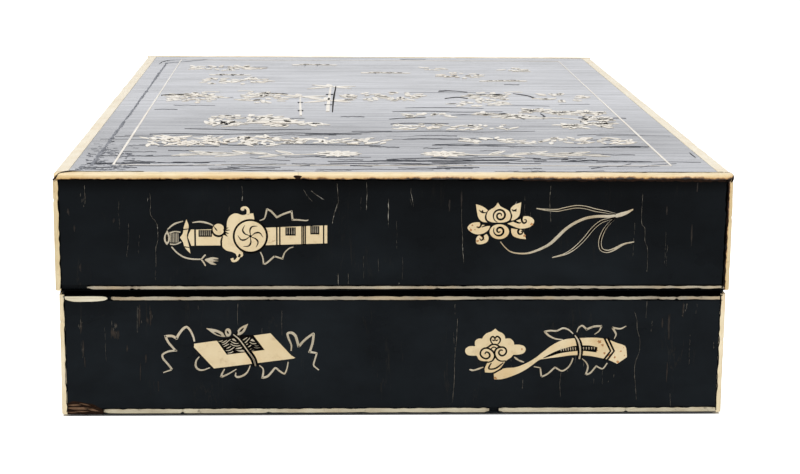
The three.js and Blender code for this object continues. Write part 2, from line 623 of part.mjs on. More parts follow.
// Lid
function lidBoard(length, side) {
  const half = boardEnd(length, side, LID_LAP, LID_WALL);
  const outerHalf = side.through ? length / 2 - EDGE_THICKNESS - GLUE : half;
  const outerTop = LID_HEIGHT - EDGE_THICKNESS - GLUE;
  const innerTop = LID_HEIGHT - TOP_BOARD - GLUE;
  const outer = block([-outerHalf, outerHalf], [BONE_PROUD, LID_LAP], [0, outerTop]);
  const inner = block([-half, half], [BONE_PROUD, LID_WALL], [0, innerTop]);
  return cut(
    join(outer, inner),
    lineGroove(length, LINE_MARGIN),
    ...cornerNotches(length, side, LID_HEIGHT),
    ...wallPockets(side.lidEmblems),
  );
}

function borderRing(extra, bottom, top) {
  const half = [LID_WIDTH / 2 - BORDER_INSET, LID_DEPTH / 2 - BORDER_INSET];
  const [outX, outY] = half.map((size) => size + extra);
  const [inX, inY] = half.map((size) => size - BORDER_WIDTH - extra);
  const frame = block([-outX, outX], [-outY, outY], [bottom, top]);
  return cut(frame, block([-inX, inX], [-inY, inY], [bottom - CUT_OVERRUN, top + CUT_OVERRUN]));
}

const GARDEN = [
  { name: "lid_top_left_spray", emblem: spray, u: -SPRAY_MIDDLE, v: GARDEN_FRONT + SPRAY_BACK },
  { name: "lid_top_right_spray", emblem: spray, flip: true, u: SPRAY_MIDDLE, v: GARDEN_FRONT + SPRAY_BACK },
  { name: "lid_top_rock", emblem: rock, u: GARDEN_LEFT + ROCK_IN, v: GARDEN_FRONT + ROCK_BACK },
  { name: "lid_top_bamboo", emblem: bamboo, u: GARDEN_LEFT + BAMBOO_IN, v: GARDEN_FRONT + BAMBOO_BACK },
  { name: "lid_top_pine", emblem: pine, u: GARDEN_RIGHT - PINE_IN, v: GARDEN_FRONT + PINE_BACK },
];
const gardenPlace = ({ u, v, flip }) => (outline) => moved(flip ? mirrored(outline) : outline, u, v);

function topBoard() {
  const [wide, deep] = [LID_WIDTH, LID_DEPTH].map((size) => size / 2 - LID_LAP - GLUE);
  const [upperWide, upperDeep] = [LID_WIDTH, LID_DEPTH].map((size) => size / 2 - EDGE_WIDTH - GLUE);
  const shoulder = LID_HEIGHT - EDGE_THICKNESS - GLUE;
  const face = LID_HEIGHT - BONE_PROUD;
  const lower = block([-wide, wide], [-deep, deep], [LID_HEIGHT - TOP_BOARD, shoulder]);
  const upper = block([-upperWide, upperWide], [-upperDeep, upperDeep], [LID_HEIGHT - TOP_BOARD, face]);
  const pockets = GARDEN.map((entry) =>
    pocketOf(entry.emblem, gardenPlace(entry)).translate([0, 0, face]),
  );
  const groove = borderRing(GLUE, LID_HEIGHT - BORDER_DEPTH - GLUE, LID_HEIGHT + CUT_OVERRUN);
  return cut(join(lower, upper), groove, ...pockets);
}

function tray(width, depth, bottom, top, open) {
  const shell = block([-width, width], [-depth, depth], [bottom, top]);
  const floor = open === "up" ? [bottom + LINING, top + CUT_OVERRUN] : [bottom - CUT_OVERRUN, top - LINING];
  return cut(shell, block([LINING - width, width - LINING], [LINING - depth, depth - LINING], floor));
}

function lidLining() {
  const [width, depth] = [LID_WIDTH, LID_DEPTH].map((size) => size / 2 - LID_WALL - GLUE);
  return tray(width, depth, LIP_HEIGHT + LINING_SETBACK, LID_HEIGHT - TOP_BOARD - GLUE, "down");
}

// Base
function baseBoard(length, side) {
  const half = boardEnd(length, side, BASE_LAP, BASE_WALL);
  const outerHalf = side.through ? length / 2 - SHADOW_LINE_DEPTH : half;
  const outer = block([-outerHalf, outerHalf], [BONE_PROUD, BASE_LAP], [0, SEAT_HEIGHT]);
  const inner = block([-half, half], [BONE_PROUD, BASE_WALL], [FLOOR_BOARD + GLUE, SEAT_HEIGHT]);
  const past = length / 2 + CUT_OVERRUN;
  const heights = [BASE_HEIGHT, SEAT_HEIGHT + CUT_OVERRUN];
  const shadow = block([-past, past], [-CUT_OVERRUN, SHADOW_LINE_DEPTH], heights);
  return cut(
    join(outer, inner),
    shadow,
    lineGroove(length, LINE_MARGIN),
    lineGroove(length, BASE_HEIGHT - LINE_MARGIN - LINE_WIDTH),
    ...cornerNotches(length, side, BASE_HEIGHT + GLUE),
    ...wallPockets(side.baseEmblems),
  );
}

function floorBoard() {
  const [wide, deep] = [BASE_WIDTH, BASE_DEPTH].map((size) => size / 2 - BASE_LAP - GLUE);
  return block([-wide, wide], [-deep, deep], [0, FLOOR_BOARD]);
}

// An inner board stands on the floor and its top makes one side of the lip.
function rimBoard(length, side) {
  const end = side.through ? length / 2 - RIM_OFFSET : length / 2 - RIM_OFFSET - RIM_BOARD - GLUE;
  const top = SEAT_HEIGHT + LIP_HEIGHT;
  const profile = new THREE.Shape();
  profile.moveTo(RIM_OFFSET, FLOOR_BOARD + GLUE);
  profile.lineTo(RIM_OFFSET + RIM_BOARD, FLOOR_BOARD + GLUE);
  profile.lineTo(RIM_OFFSET + RIM_BOARD, top);
  profile.lineTo(RIM_OFFSET + LIP_CHAMFER, top);
  profile.lineTo(RIM_OFFSET, top - LIP_CHAMFER);
  const bar = new THREE.ExtrudeGeometry(profile, { depth: 2 * end, bevelEnabled: false });
  bar.translate(0, 0, -end);
  bar.applyMatrix4(new THREE.Matrix4().makeBasis(
    new THREE.Vector3(0, 1, 0), new THREE.Vector3(0, 0, 1), new THREE.Vector3(1, 0, 0),
  ));
  return solidOf(bar);
}

function baseLining() {
  const [width, depth] = [BASE_WIDTH, BASE_DEPTH].map((size) => size / 2 - RIM_OFFSET - RIM_BOARD - GLUE);
  return tray(width, depth, FLOOR_BOARD + GLUE, SEAT_HEIGHT + LIP_HEIGHT - LINING_SETBACK, "up");
}

// Which emblems each wall carries, with their places along it from its middle and above its foot
const fromLeft = (inward) => inward - LID_WIDTH / 2;
const fromRight = (inward) => LID_WIDTH / 2 - inward;
const [FRONT, RIGHT, BACK, LEFT] = SIDES;
FRONT.lidEmblems = [
  { name: "lid_front_sword", emblem: sword, place: [fromLeft(SWORD_IN), SWORD_RISE] },
  { name: "lid_front_lotus_flower", emblem: lotusFlower, place: [fromRight(LOTUS_IN), LOTUS_RISE] },
  { name: "lid_front_lotus_stem", emblem: lotusStem, place: [fromRight(LOTUS_IN), LOTUS_RISE] },
];
FRONT.baseEmblems = [
  { name: "base_front_scroll", emblem: scroll, place: [fromLeft(SCROLL_IN), SCROLL_RISE] },
  { name: "base_front_ruyi_head", emblem: ruyiHead, place: [fromRight(RUYI_IN), RUYI_RISE] },
  { name: "base_front_ruyi_handle", emblem: ruyiHandle, place: [fromRight(RUYI_IN), RUYI_RISE] },
];
BACK.lidEmblems = [
  { name: "lid_back_gourd", emblem: gourd, place: [fromLeft(PLAIN_IN), PLAIN_RISE] },
  { name: "lid_back_fan", emblem: fan, place: [fromRight(PLAIN_IN), PLAIN_RISE] },
];
BACK.baseEmblems = [
  { name: "base_back_coins", emblem: coins, place: [fromLeft(PLAIN_IN), PLAIN_RISE] },
  { name: "base_back_lozenges", emblem: lozenges, place: [fromRight(PLAIN_IN), PLAIN_RISE] },
];
RIGHT.lidEmblems = [{ name: "lid_right_leaf", emblem: lobedLeaf, place: [0, PLAIN_RISE] }];
RIGHT.baseEmblems = [{ name: "base_right_chime", emblem: chime, place: [0, PLAIN_RISE] }];
LEFT.lidEmblems = [{ name: "lid_left_leaf", emblem: lobedLeaf, place: [0, PLAIN_RISE] }];
LEFT.baseEmblems = [{ name: "base_left_chime", emblem: chime, place: [0, PLAIN_RISE] }];

function makeLid() {
  const lid = new THREE.Group();
  lid.position.z = SEAT_HEIGHT + SEAT_GAP;
  piece(lid, "lid_top_board", topBoard(), lacquer());
  piece(lid, "lid_top_border", borderRing(0, LID_HEIGHT - BORDER_DEPTH, LID_HEIGHT), bone());
  piece(lid, "lid_lining", lidLining(), paper());
  for (const side of SIDES) {
    const length = side.through ? LID_WIDTH : LID_DEPTH;
    const frame = wallFrame(lid, side, LID_WIDTH, LID_DEPTH);
    const lost = side === FRONT ? LID_LINE_LOST : 0;
    piece(frame, `lid_${side.name}_board`, lidBoard(length, side), lacquer());
    piece(frame, `lid_${side.name}_top_edge`, topEdge(length, side.through), bone());
    piece(frame, `lid_${side.name}_line`, lineStrip(length, side, LINE_MARGIN, lost), bone());
    wallPlates(frame, side.lidEmblems);
  }
  for (const entry of GARDEN) {
    const plate = piece(lid, entry.name, plateOf(entry.emblem, gardenPlace(entry)), bone());
    plate.position.z = LID_HEIGHT - BONE_PROUD;
  }
  addCorners(lid, "lid", LID_WIDTH, LID_DEPTH, SEAT_GAP, LID_HEIGHT - EDGE_THICKNESS - GLUE);
  return lid;
}

// A strip stands at each end of the front and back walls; the right-hand one is its mirror image.
function addCorners(parent, name, width, depth, bottom, top) {
  for (const side of SIDES.filter(({ through }) => through)) {
    const frame = wallFrame(parent, side, width, depth);
    const strip = cornerStrip(width, bottom, top);
    const seen = side === FRONT ? ["left", "right"] : ["right", "left"];
    piece(frame, `${name}_${side.name}_${seen[0]}_corner`, strip, bone());
    piece(frame, `${name}_${side.name}_${seen[1]}_corner`, strip.mirror([1, 0, 0]), bone());
  }
}

function makeBase() {
  const base = new THREE.Group();
  piece(base, "base_floor_board", floorBoard(), lacquer());
  piece(base, "base_lining", baseLining(), paper());
  for (const side of SIDES) {
    const length = side.through ? BASE_WIDTH : BASE_DEPTH;
    const frame = wallFrame(base, side, BASE_WIDTH, BASE_DEPTH);
    const lost = side === FRONT ? BASE_LINE_LOST : 0;
    const upper = BASE_HEIGHT - LINE_MARGIN - LINE_WIDTH;
    piece(frame, `base_${side.name}_board`, baseBoard(length, side), lacquer());
    piece(frame, `base_${side.name}_rim_board`, rimBoard(length, side), innerLacquer());
    piece(frame, `base_${side.name}_upper_line`, lineStrip(length, side, upper, 0), bone());
    piece(frame, `base_${side.name}_lower_line`, lineStrip(length, side, LINE_MARGIN, lost), bone());
    wallPlates(frame, side.baseEmblems);
  }
  addCorners(base, "base", BASE_WIDTH, BASE_DEPTH, 0, BASE_HEIGHT);
  return base;
}

const box = new THREE.Group();
box.add(makeBase(), makeLid());

export default box;
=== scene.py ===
# %% [markdown]
# A lacquer document box, edged and inlaid with bone. The solids of the box come ready made and
# are never changed. This notebook dresses them: it gives the boards their lacquer, and lays the
# bone edging, the emblems, their ribbons and their engraved strokes over the plain solids.

import math

import bpy
import numpy as np
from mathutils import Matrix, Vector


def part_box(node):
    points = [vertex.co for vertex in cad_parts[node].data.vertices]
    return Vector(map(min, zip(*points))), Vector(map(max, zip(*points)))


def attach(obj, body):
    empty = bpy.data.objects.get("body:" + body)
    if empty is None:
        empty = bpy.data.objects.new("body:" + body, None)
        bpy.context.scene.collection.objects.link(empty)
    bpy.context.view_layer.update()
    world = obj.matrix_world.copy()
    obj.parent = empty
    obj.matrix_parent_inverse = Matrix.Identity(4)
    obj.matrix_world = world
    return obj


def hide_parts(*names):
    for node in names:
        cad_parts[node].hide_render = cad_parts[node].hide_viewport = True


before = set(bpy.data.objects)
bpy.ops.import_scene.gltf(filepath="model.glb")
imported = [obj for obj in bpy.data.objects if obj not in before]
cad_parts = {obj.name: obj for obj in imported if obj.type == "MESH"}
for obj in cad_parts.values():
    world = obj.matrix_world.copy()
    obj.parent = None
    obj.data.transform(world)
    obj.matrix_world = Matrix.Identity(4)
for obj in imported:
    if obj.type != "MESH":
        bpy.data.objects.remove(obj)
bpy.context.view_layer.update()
MM = 0.001

# %% [markdown]
# The camera stands where the photograph was taken from. Its place and its turns were found by
# fitting a pinhole camera to the corners of the box. An 85 mm lens fits a product photograph of
# this kind, and the box then comes out at its usual proportions.

# %% Camera
CAMERA_MM = (-34.2, -1124.3, 268.7)
PITCH_DOWN, YAW, ROLL = np.radians([11.74, -2.385, -0.496])
LENS, SENSOR = 85.3, 36


def camera_axes(pitch, yaw, roll):
    """Three unit vectors: to the right of the picture, up it, and out of it towards the eye.

    Yaw turns the two level ones about the vertical, pitch tips the view down from level, and
    roll then turns right and up about the line of sight.
    """
    right = np.array([math.cos(yaw), math.sin(yaw), 0])
    level = np.array([-math.sin(yaw), math.cos(yaw), 0])
    rise = np.array([0, 0, 1])
    forward = level * math.cos(pitch) - rise * math.sin(pitch)
    up = level * math.sin(pitch) + rise * math.cos(pitch)
    turned_right = right * math.cos(roll) - up * math.sin(roll)
    turned_up = right * math.sin(roll) + up * math.cos(roll)
    return turned_right, turned_up, -forward


camera_data = bpy.data.cameras.new("camera")
camera_data.lens, camera_data.sensor_width = LENS, SENSOR
camera = bpy.data.objects.new("camera", camera_data)
bpy.context.scene.collection.objects.link(camera)
placed = np.eye(4)
placed[:3, :3] = np.stack(camera_axes(PITCH_DOWN, YAW, ROLL), axis=1)
placed[:3, 3] = np.array(CAMERA_MM) * MM
camera.matrix_world = placed.T
bpy.context.view_layer.update()
bpy.context.scene.camera = camera
print("camera at", [round(x, 3) for x in camera.location])

# %% [markdown]
# Every finish is a small network of shader nodes. One helper adds a node, sets its properties and
# links its inputs, so each material reads as a list of steps. Colours are written as they look on
# a screen, and one function turns them into the linear values that light needs.

# %% Material helpers
def linear(colour):
    """An sRGB hex colour such as '#ecd9b0' as linear red, green, blue and alpha.

    A channel c above 0.04 becomes (c + 0.055) / 1.055 to the power 2.4, a darker one c / 12.92.
    """
    share = np.array([int(colour[i:i + 2], 16) for i in (1, 3, 5)]) / 255
    curved = np.where(share <= 0.04045, share / 12.92, ((share + 0.055) / 1.055) ** 2.4)
    return (*curved.tolist(), 1.0)


def add(tree, kind, inputs, stops=(), **settings):
    """Adds one node. stops run up a colour ramp.

    Each of inputs is a value, a socket to link from, or a node whose first live output is linked.
    """
    node = tree.nodes.new("ShaderNode" + kind)
    for name, value in settings.items():
        setattr(node, name, value)
    for key, value in inputs.items():
        if isinstance(value, bpy.types.Node):
            value = next(output for output in value.outputs if output.enabled)
        if isinstance(value, bpy.types.NodeSocket):
            tree.links.new(value, node.inputs[key])
        else:
            node.inputs[key].default_value = value
    for index, (position, colour) in enumerate(stops):
        if index > 1:
            node.color_ramp.elements.new(position)
        node.color_ramp.elements[index].position = position
        node.color_ramp.elements[index].color = linear(colour)
    return node


def material(name, shader):
    """A new material, its node tree, its Principled shader and its Object coordinates."""
    made = bpy.data.materials.new(name)
    made.use_nodes = True
    tree = made.node_tree
    tree.nodes.clear()
    surface = add(tree, "BsdfPrincipled", shader)
    add(tree, "OutputMaterial", {"Surface": surface})
    return made, tree, surface, add(tree, "TexCoord", {}).outputs["Object"]


def per_metre(*sizes_mm):
    """How often each size goes into a metre: the scale that makes a pattern that large."""
    return tuple(1 / (size * MM) for size in sizes_mm)


print("white is", linear("#ffffff"))

# %% [markdown]
# Black lacquer is tree sap, brushed on in many coats over cloth, and rubbed smooth. It is a hard,
# glossy, slightly blue-black film. With age it ripples, gathers fine scratches and splits in long
# thin lines. The walls have dulled more than the top. Both come from one function, with the
# sizes of the pattern along each axis given in millimetres.

# %% Lacquer
CRACKED_PATCH_MM = 36
BOX_TALL_MM, BOX_HALF_DEEP_MM = 120, 250


def lacquer(name, shader, tints, cloud_mm, crack_mm, crack_share, ripple_mm, ripple_height,
            painted_shade=((0, "#ffffff"), (1, "#ffffff")), polish=((0, "#000000"), (1, "#000000"))):
    """Old urushi lacquer: clouded colour, hairline cracks that show the ground, and ripples.

    The shade stops multiply the colour by height, a painted shade: they run from the table to 120 mm above
    it.
    polish is the weight of the clear top coat: its stops run from the front to the back.
    """
    made, tree, surface, place = material(name, shader)
    clouded = add(tree, "Mapping", {"Vector": place, "Scale": per_metre(*cloud_mm)})
    cloud = add(tree, "TexNoise", {"Vector": clouded, "Scale": 1, "Detail": 7, "Roughness": 0.62})
    body = add(tree, "ValToRGB", {0: cloud}, stops=((0.34, tints[0]), (0.66, tints[1])))
    drawn_out = add(tree, "Mapping", {"Vector": place, "Scale": per_metre(*crack_mm)})
    field = add(tree, "TexNoise", {"Vector": drawn_out, "Scale": 1, "Detail": 6, "Roughness": 0.6,
                                   "Distortion": 0.5})
    line = add(tree, "ValToRGB", {0: field},
               stops=((0.492, "#000000"), (0.5, "#ffffff"), (0.508, "#000000")))
    where = add(tree, "TexNoise", {"Vector": place, "Scale": per_metre(CRACKED_PATCH_MM)[0], "Detail": 2})
    open_here = add(tree, "ValToRGB", {0: where},
                    stops=((0.5, "#000000"), (0.62, "#ffffff")))
    crack = add(tree, "Math", {0: line, 1: open_here}, operation="MULTIPLY")
    shown = add(tree, "Math", {0: crack, 1: crack_share}, operation="MULTIPLY")
    colour = add(tree, "Mix", {0: shown, 6: body, 7: linear(tints[2])},
                 data_type="RGBA")
    height = add(tree, "SeparateXYZ", {0: place}).outputs[2]
    raised = add(tree, "MapRange", {0: height, 1: 0.0, 2: BOX_TALL_MM * MM})
    depth = add(tree, "SeparateXYZ", {0: place}).outputs[1]
    half = BOX_HALF_DEEP_MM * MM
    back = add(tree, "MapRange", {0: depth, 1: -half, 2: half})
    polished = add(tree, "ValToRGB", {0: back}, stops=polish)
    tree.links.new(polished.outputs[0], surface.inputs["Coat Weight"])
    painted_shade_ramp = add(tree, "ValToRGB", {0: raised}, stops=painted_shade)
    # painted shade: the colour is multiplied by a ramp over height
    colour_with_painted_shade = add(tree, "Mix", {0: 1.0, 6: colour, 7: painted_shade_ramp},
                  data_type="RGBA", blend_type="MULTIPLY")
    tree.links.new(colour_with_painted_shade.outputs[2], surface.inputs["Base Color"])
    low, high = shader["Roughness"] - 0.08, shader["Roughness"] + 0.12
    dull = add(tree, "MapRange", {0: cloud, 1: 0.3, 2: 0.7, 3: low, 4: high})
    tree.links.new(dull.outputs[0], surface.inputs["Roughness"])
    rolled = add(tree, "Mapping", {"Vector": place, "Scale": per_metre(*ripple_mm)})
    ripple = add(tree, "TexNoise", {"Vector": rolled, "Scale": 1, "Detail": 3, "Roughness": 0.5})
    soft = add(tree, "Bump", {"Height": ripple, "Distance": ripple_height * MM})
    groove = add(tree, "Bump", {"Height": crack, "Distance": 0.08 * MM,
                                "Normal": soft}, invert=True)
    tree.links.new(groove.outputs[0], surface.inputs["Normal"])
    tree.links.new(soft.outputs[0], surface.inputs["Coat Normal"])
    return made


print("patches of cracks per metre", round(per_metre(CRACKED_PATCH_MM)[0], 1))

# %% [markdown]
# The walls have lost their polish and look charcoal; painted shade darkens them by height, most under the
# arris and near the seam.
# The top keeps a clear coat, so at a low angle it mirrors the white room as grey. The inside is
# a thinner, redder brown.

# %% Three lacquers
WALL_LACQUER = lacquer(
    "urushi_lacquer_dulled", {"Roughness": 0.3, "Specular IOR Level": 0.05, "IOR": 1.5},
    ("#101316", "#1b2024", "#4a4338"), cloud_mm=(60, 60, 40), crack_mm=(12, 12, 80),
    crack_share=0.15, ripple_mm=(7, 7, 30), ripple_height=0.1,
    # painted shade: darker at the foot, near the seam and most under the arris
    painted_shade=((0, "#d8d8d8"), (0.05, "#f6f6f6"), (0.4, "#ffffff"), (0.475, "#e4e4e4"),
          (0.6, "#f0f0f0"), (0.72, "#cccccc"), (0.9, "#c4c4c4"), (0.95, "#404040")))
TOP_LACQUER = lacquer(
    "urushi_lacquer_rubbed", {"Roughness": 0.17, "Specular IOR Level": 0.5, "IOR": 1.6,
                              "Specular Tint": linear("#eef3ff"),
                              "Coat Roughness": 0.14, "Coat IOR": 1.5,
                              "Coat Tint": linear("#f4f6ff")},
    ("#090a0d", "#101216", "#020202"), cloud_mm=(60, 40, 30), crack_mm=(110, 4, 5),
    crack_share=0.9, ripple_mm=(90, 6, 7), ripple_height=0.26,
    polish=((0, "#f2f2f2"), (0.14, "#c4c4c4"), (0.2, "#b4b4b4"), (0.35, "#cacaca"), (0.5, "#fafafa"),
            (0.65, "#e6e6e6"), (1, "#cccccc")))
INNER_LACQUER = lacquer(
    "urushi_lacquer_inside", {"Roughness": 0.42, "Specular IOR Level": 0.3, "IOR": 1.5},
    ("#1a0f0b", "#26150e", "#4a3020"), cloud_mm=(30, 30, 30), crack_mm=(40, 40, 20),
    crack_share=0.3, ripple_mm=(20, 20, 20), ripple_height=0.06)
print("lacquers", WALL_LACQUER.name, TOP_LACQUER.name, INNER_LACQUER.name)

# %% [markdown]
# Bone is sawn into thin strips and plates, scraped flat and glued into the lacquer. It is cream
# rather than white, a little translucent, with fine straight pores that run along the strip. Dirt
# and old glue turn it brown in specks and along its edges. One function makes each bone, with its
# pores drawn out along the axis that the strip follows.

# %% Bone
BLOTCH_MM, SPECK_MM, HONEY_MM = 18, 4.8, 26


def bone(name, tints, pore_mm, speck_share, roughness=0.38, grain=0.45, honey=0.2):
    """Scraped ox bone: cream blotches, straight pores, honey patches, brown specks."""
    made, tree, surface, place = material(name, {"Roughness": roughness, "IOR": 1.55})
    blotch = add(tree, "TexNoise", {"Vector": place, "Scale": per_metre(BLOTCH_MM)[0], "Detail": 5,
                                    "Roughness": 0.6})
    body = add(tree, "ValToRGB", {0: blotch},
               stops=((0.32, tints[1]), (0.62, tints[0])))
    along = add(tree, "Mapping", {"Vector": place, "Scale": per_metre(*pore_mm)})
    pores = add(tree, "TexNoise", {"Vector": along, "Scale": 1, "Detail": 4, "Roughness": 0.7})
    pored = add(tree, "ValToRGB", {0: pores},
                stops=((0.3, "#b89a6a"), (0.47, "#ffffff")))
    grained = add(tree, "Mix", {0: grain, 6: body, 7: pored},
                  data_type="RGBA", blend_type="MULTIPLY")
    dirt = add(tree, "TexNoise", {"Vector": place, "Scale": per_metre(SPECK_MM)[0], "Detail": 6,
                                  "Roughness": 0.7})
    speck = add(tree, "ValToRGB", {0: dirt},
                stops=((0.66 - 0.1 * speck_share, "#000000"), (0.76, "#ffffff")))
    patch = add(tree, "TexNoise", {"Vector": place, "Scale": per_metre(HONEY_MM)[0], "Detail": 3,
                                   "Roughness": 0.6})
    patched = add(tree, "MapRange", {0: patch, 1: 0.52, 2: 0.68, 3: 0.0, 4: honey})
    warm = add(tree, "Mix", {0: patched, 6: grained, 7: linear("#d4a452")},
               data_type="RGBA")
    colour = add(tree, "Mix", {0: speck, 6: warm, 7: linear(tints[2])},
                 data_type="RGBA")
    tree.links.new(colour.outputs[2], surface.inputs["Base Color"])
    scraped = add(tree, "Bump", {"Height": pores, "Distance": 0.03 * MM})
    tree.links.new(scraped.outputs[0], surface.inputs["Normal"])
    return made


print("blotches of bone per metre", round(per_metre(BLOTCH_MM)[0], 1))

# %% [markdown]
# One box holds many bones. Edge strips are cream, with pores 14 mm long and half a millimetre
# wide, which the eye takes for straight grain. Inlay plates are warmer, thin strips and fine
# lines are grey, the lines beside the seam darker than the foot line as painted shade, the mend
# is clean, and the garden is rubbed pale.

# %% Bones of the box
EDGE_TINTS = ("#ecdcb6", "#dcc698", "#6b4526")
BONE_X = bone("ox_bone_along_x", EDGE_TINTS, (14, 0.5, 0.5), 0.3)
BONE_Y = bone("ox_bone_along_y", ("#eee4cd", "#e4d6b9", "#9a8058"), (0.5, 14, 0.5), 0.15,
              grain=0.3)
BONE_Z = bone("ox_bone_along_z", ("#ecdab0", "#d9c293", "#5c3c20"), (0.5, 0.5, 14), 0.5)
BONE_BASE_Z = bone("ox_bone_pale_along_z", ("#f8e8c6", "#ebd8ae", "#6c4c2c"), (0.5, 0.5, 14), 0.3)
BONE_PLATE = bone("ox_bone_inlay", ("#e9d5ac", "#dfc89b", "#a06c38"), (5, 5, 5), 0.12,
                  grain=0.28, honey=0.3)
BONE_MEND = bone("ox_bone_new", ("#eae1c8", "#dbd0b2", "#9a7c50"), (14, 0.5, 0.5), 0.1,
                 honey=0.0)
BONE_THIN = bone("ox_bone_thin_strip", ("#c9bea7", "#aa9d82", "#5c4630"), (3, 3, 1), 0.5, 0.5)
# painted shade: the lines beside the seam get a darker copy of the foot line's bone
BONE_LINE_SHADED = bone("ox_bone_grey_line_painted_shade", ("#b8ae98", "#9a8e7a", "#3c2a1c"), (9, 9, 0.4), 0.7, 0.5)
BONE_FOOT = bone("ox_bone_foot_line", ("#d6cdb2", "#baae92", "#3c2a1c"), (9, 9, 0.4), 0.5, 0.5)
BONE_WORN = bone("ox_bone_worn", ("#f2ebde", "#dad1c2", "#80766a"), (5, 2, 2), 0.5, 0.24,
                 grain=0.2, honey=0.15)
BONE_BROWNED = bone("ox_bone_browned", ("#c88a4c", "#96602f", "#3a2010"), (3, 3, 3), 0.9)
print("bones", [m.name for m in (BONE_X, BONE_Y, BONE_Z, BONE_PLATE, BONE_THIN)])

# %% [markdown]
# The front arris of the lid has been handled and scorched: a brown stain creeps up from the lower
# edge of its strip, more on the right than on the left. The upright strips at the right are
# stained along their inner edge in the same way. The stain grows from an edge along one axis, and
# more of it shows towards one end along another; a fine noise makes it ragged.

# %% Stained bone
FRAY_MM = 6


def stained_bone(name, tints, pore_mm, axis, edge, reach, along, span, gain):
    """Ox bone, browned where its place along axis is near edge, and more so up the span.

    A stain shows where three numbers add up to enough: the noise, a share that falls from edge to
    reach, and a share that grows along the span from the first to the second gain.
    """
    made = bone(name, tints, pore_mm, 0.3)
    tree = made.node_tree
    surface = tree.nodes["Principled BSDF"]
    clean = surface.inputs["Base Color"].links[0].from_socket
    place = add(tree, "TexCoord", {}).outputs["Object"]
    spot = add(tree, "SeparateXYZ", {0: place})
    ragged = add(tree, "TexNoise", {"Vector": place, "Scale": per_metre(FRAY_MM)[0], "Detail": 6,
                                    "Roughness": 0.7})
    near = add(tree, "MapRange", {0: spot.outputs[axis], 1: edge * MM, 2: reach * MM,
                                  3: 0.42, 4: -0.16})
    more = add(tree, "MapRange", {0: spot.outputs[along], 1: span[0] * MM, 2: span[1] * MM,
                                  3: gain[0], 4: gain[1]})
    grown = add(tree, "Math", {0: near, 1: more}, operation="ADD")
    level = add(tree, "Math", {0: ragged, 1: grown}, operation="ADD")
    aged = add(tree, "MapRange", {0: spot.outputs[axis], 1: edge * MM, 2: reach * MM,
                                  3: 1.0, 4: 0.12})
    warmer = add(tree, "MapRange", {0: more, 1: gain[0], 2: gain[1], 3: 0.7, 4: 1.0})
    gold = add(tree, "Math", {0: aged, 1: warmer}, operation="MULTIPLY")
    golden = add(tree, "Mix", {0: gold, 6: clean, 7: linear("#cf9a3e")}, data_type="RGBA")
    burn = add(tree, "ValToRGB", {0: level}, stops=((0.64, "#000000"), (0.82, "#ffffff")))
    tone = add(tree, "ValToRGB", {0: level}, stops=((0.66, "#b87a34"), (0.9, "#150a04")))
    colour = add(tree, "Mix", {0: burn, 6: golden, 7: tone},
                 data_type="RGBA")
    tree.links.new(colour.outputs[2], surface.inputs["Base Color"])
    return made


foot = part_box("lid_front_top_edge")[0].z / MM
BONE_STAINED = stained_bone("ox_bone_scorched", ("#efe0bd", "#e4cfa2", "#5c3a1e"), (14, 0.5, 0.5),
                            2, foot, foot + 2.4, 0, (-150, 158), (-0.12, 0.16))
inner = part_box("lid_front_right_corner")[0].x / MM
BONE_STAINED_RIGHT = stained_bone("ox_bone_scorched_upright", ("#e6d3a8", "#d4ba86", "#4c2e16"),
                                  (0.5, 0.5, 14), 0, inner, inner + 1.4, 2, (60, 116), (-0.1, 0.12))
print("stain starts at", round(foot, 2), "and", round(inner, 2))

# %% [markdown]
# Three smaller finishes: the black paste that fills engraved strokes, the brown softwood that
# shows where lacquer has broken away, and the mulberry paper that lines the box. Paste and wood
# are matt; the paper has long loose fibres.

# %% Paste, wood and paper
def fibrous(name, tints, fibre_mm, roughness, height_mm, gloss=0.1):
    """A matt finish whose tone and height follow one noise, drawn out to the size of its fibres."""
    shader = {"Roughness": roughness, "IOR": 1.45, "Specular IOR Level": gloss}
    made, tree, surface, place = material(name, shader)
    along = add(tree, "Mapping", {"Vector": place, "Scale": per_metre(*fibre_mm)})
    fibre = add(tree, "TexNoise", {"Vector": along, "Scale": 1, "Detail": 6, "Roughness": 0.65})
    body = add(tree, "ValToRGB", {0: fibre},
               stops=((0.3, tints[0]), (0.72, tints[1])))
    tree.links.new(body.outputs[0], surface.inputs["Base Color"])
    lifted = add(tree, "Bump", {"Height": fibre, "Distance": height_mm * MM})
    tree.links.new(lifted.outputs[0], surface.inputs["Normal"])
    return made


# Dead black in the engraving; the next two are matt greys without gloss, a painted reflection of the white
# room that the top mirrors.
BLACK_PASTE = fibrous("lacquer_paste", ("#060504", "#100d0b"), (2, 2, 2), 0.7, 0.02, 0.03)
CRACK_GREY_PAINTED_REFLECTION = fibrous("open_crack_painted_reflection", ("#3a3b41", "#6c6e74"), (6, 6, 6), 0.9, 0.05, 0.0)
GROOVE_GREY_PAINTED_REFLECTION = fibrous("dull_groove_painted_reflection", ("#6e7076", "#a2a4aa"), (2, 9, 6), 0.9, 0.05, 0.0)
# Dust makes the cracks of the walls pale, and the widest ones chalky.
PALE_CRACK = fibrous("dusty_crack", ("#302d28", "#a39b8c"), (1.5, 1.5, 2.5), 0.8, 0.05)
WHITE_CRACK = fibrous("chalky_crack", ("#6c685e", "#e4ded0"), (1.5, 1.5, 2.5), 0.8, 0.05)
# The brown ground just shows through rubbed lacquer. The seam gets painted shade, a near-black matt finish
# that also serves for soot along the bone.
RUBBED_BROWN = fibrous("urushi_rubbed_to_ground", ("#1a1c1e", "#3e3731"), (0.8, 0.8, 3), 0.6, 0.01,
                       0.05)
# near-black matt: painted shade in the seam, and soot along the bone
DIRT_AND_SEAM_SHADE = fibrous("soot_in_seam", ("#020202", "#040404"), (3, 3, 3), 1.0, 0.02, 0.0)
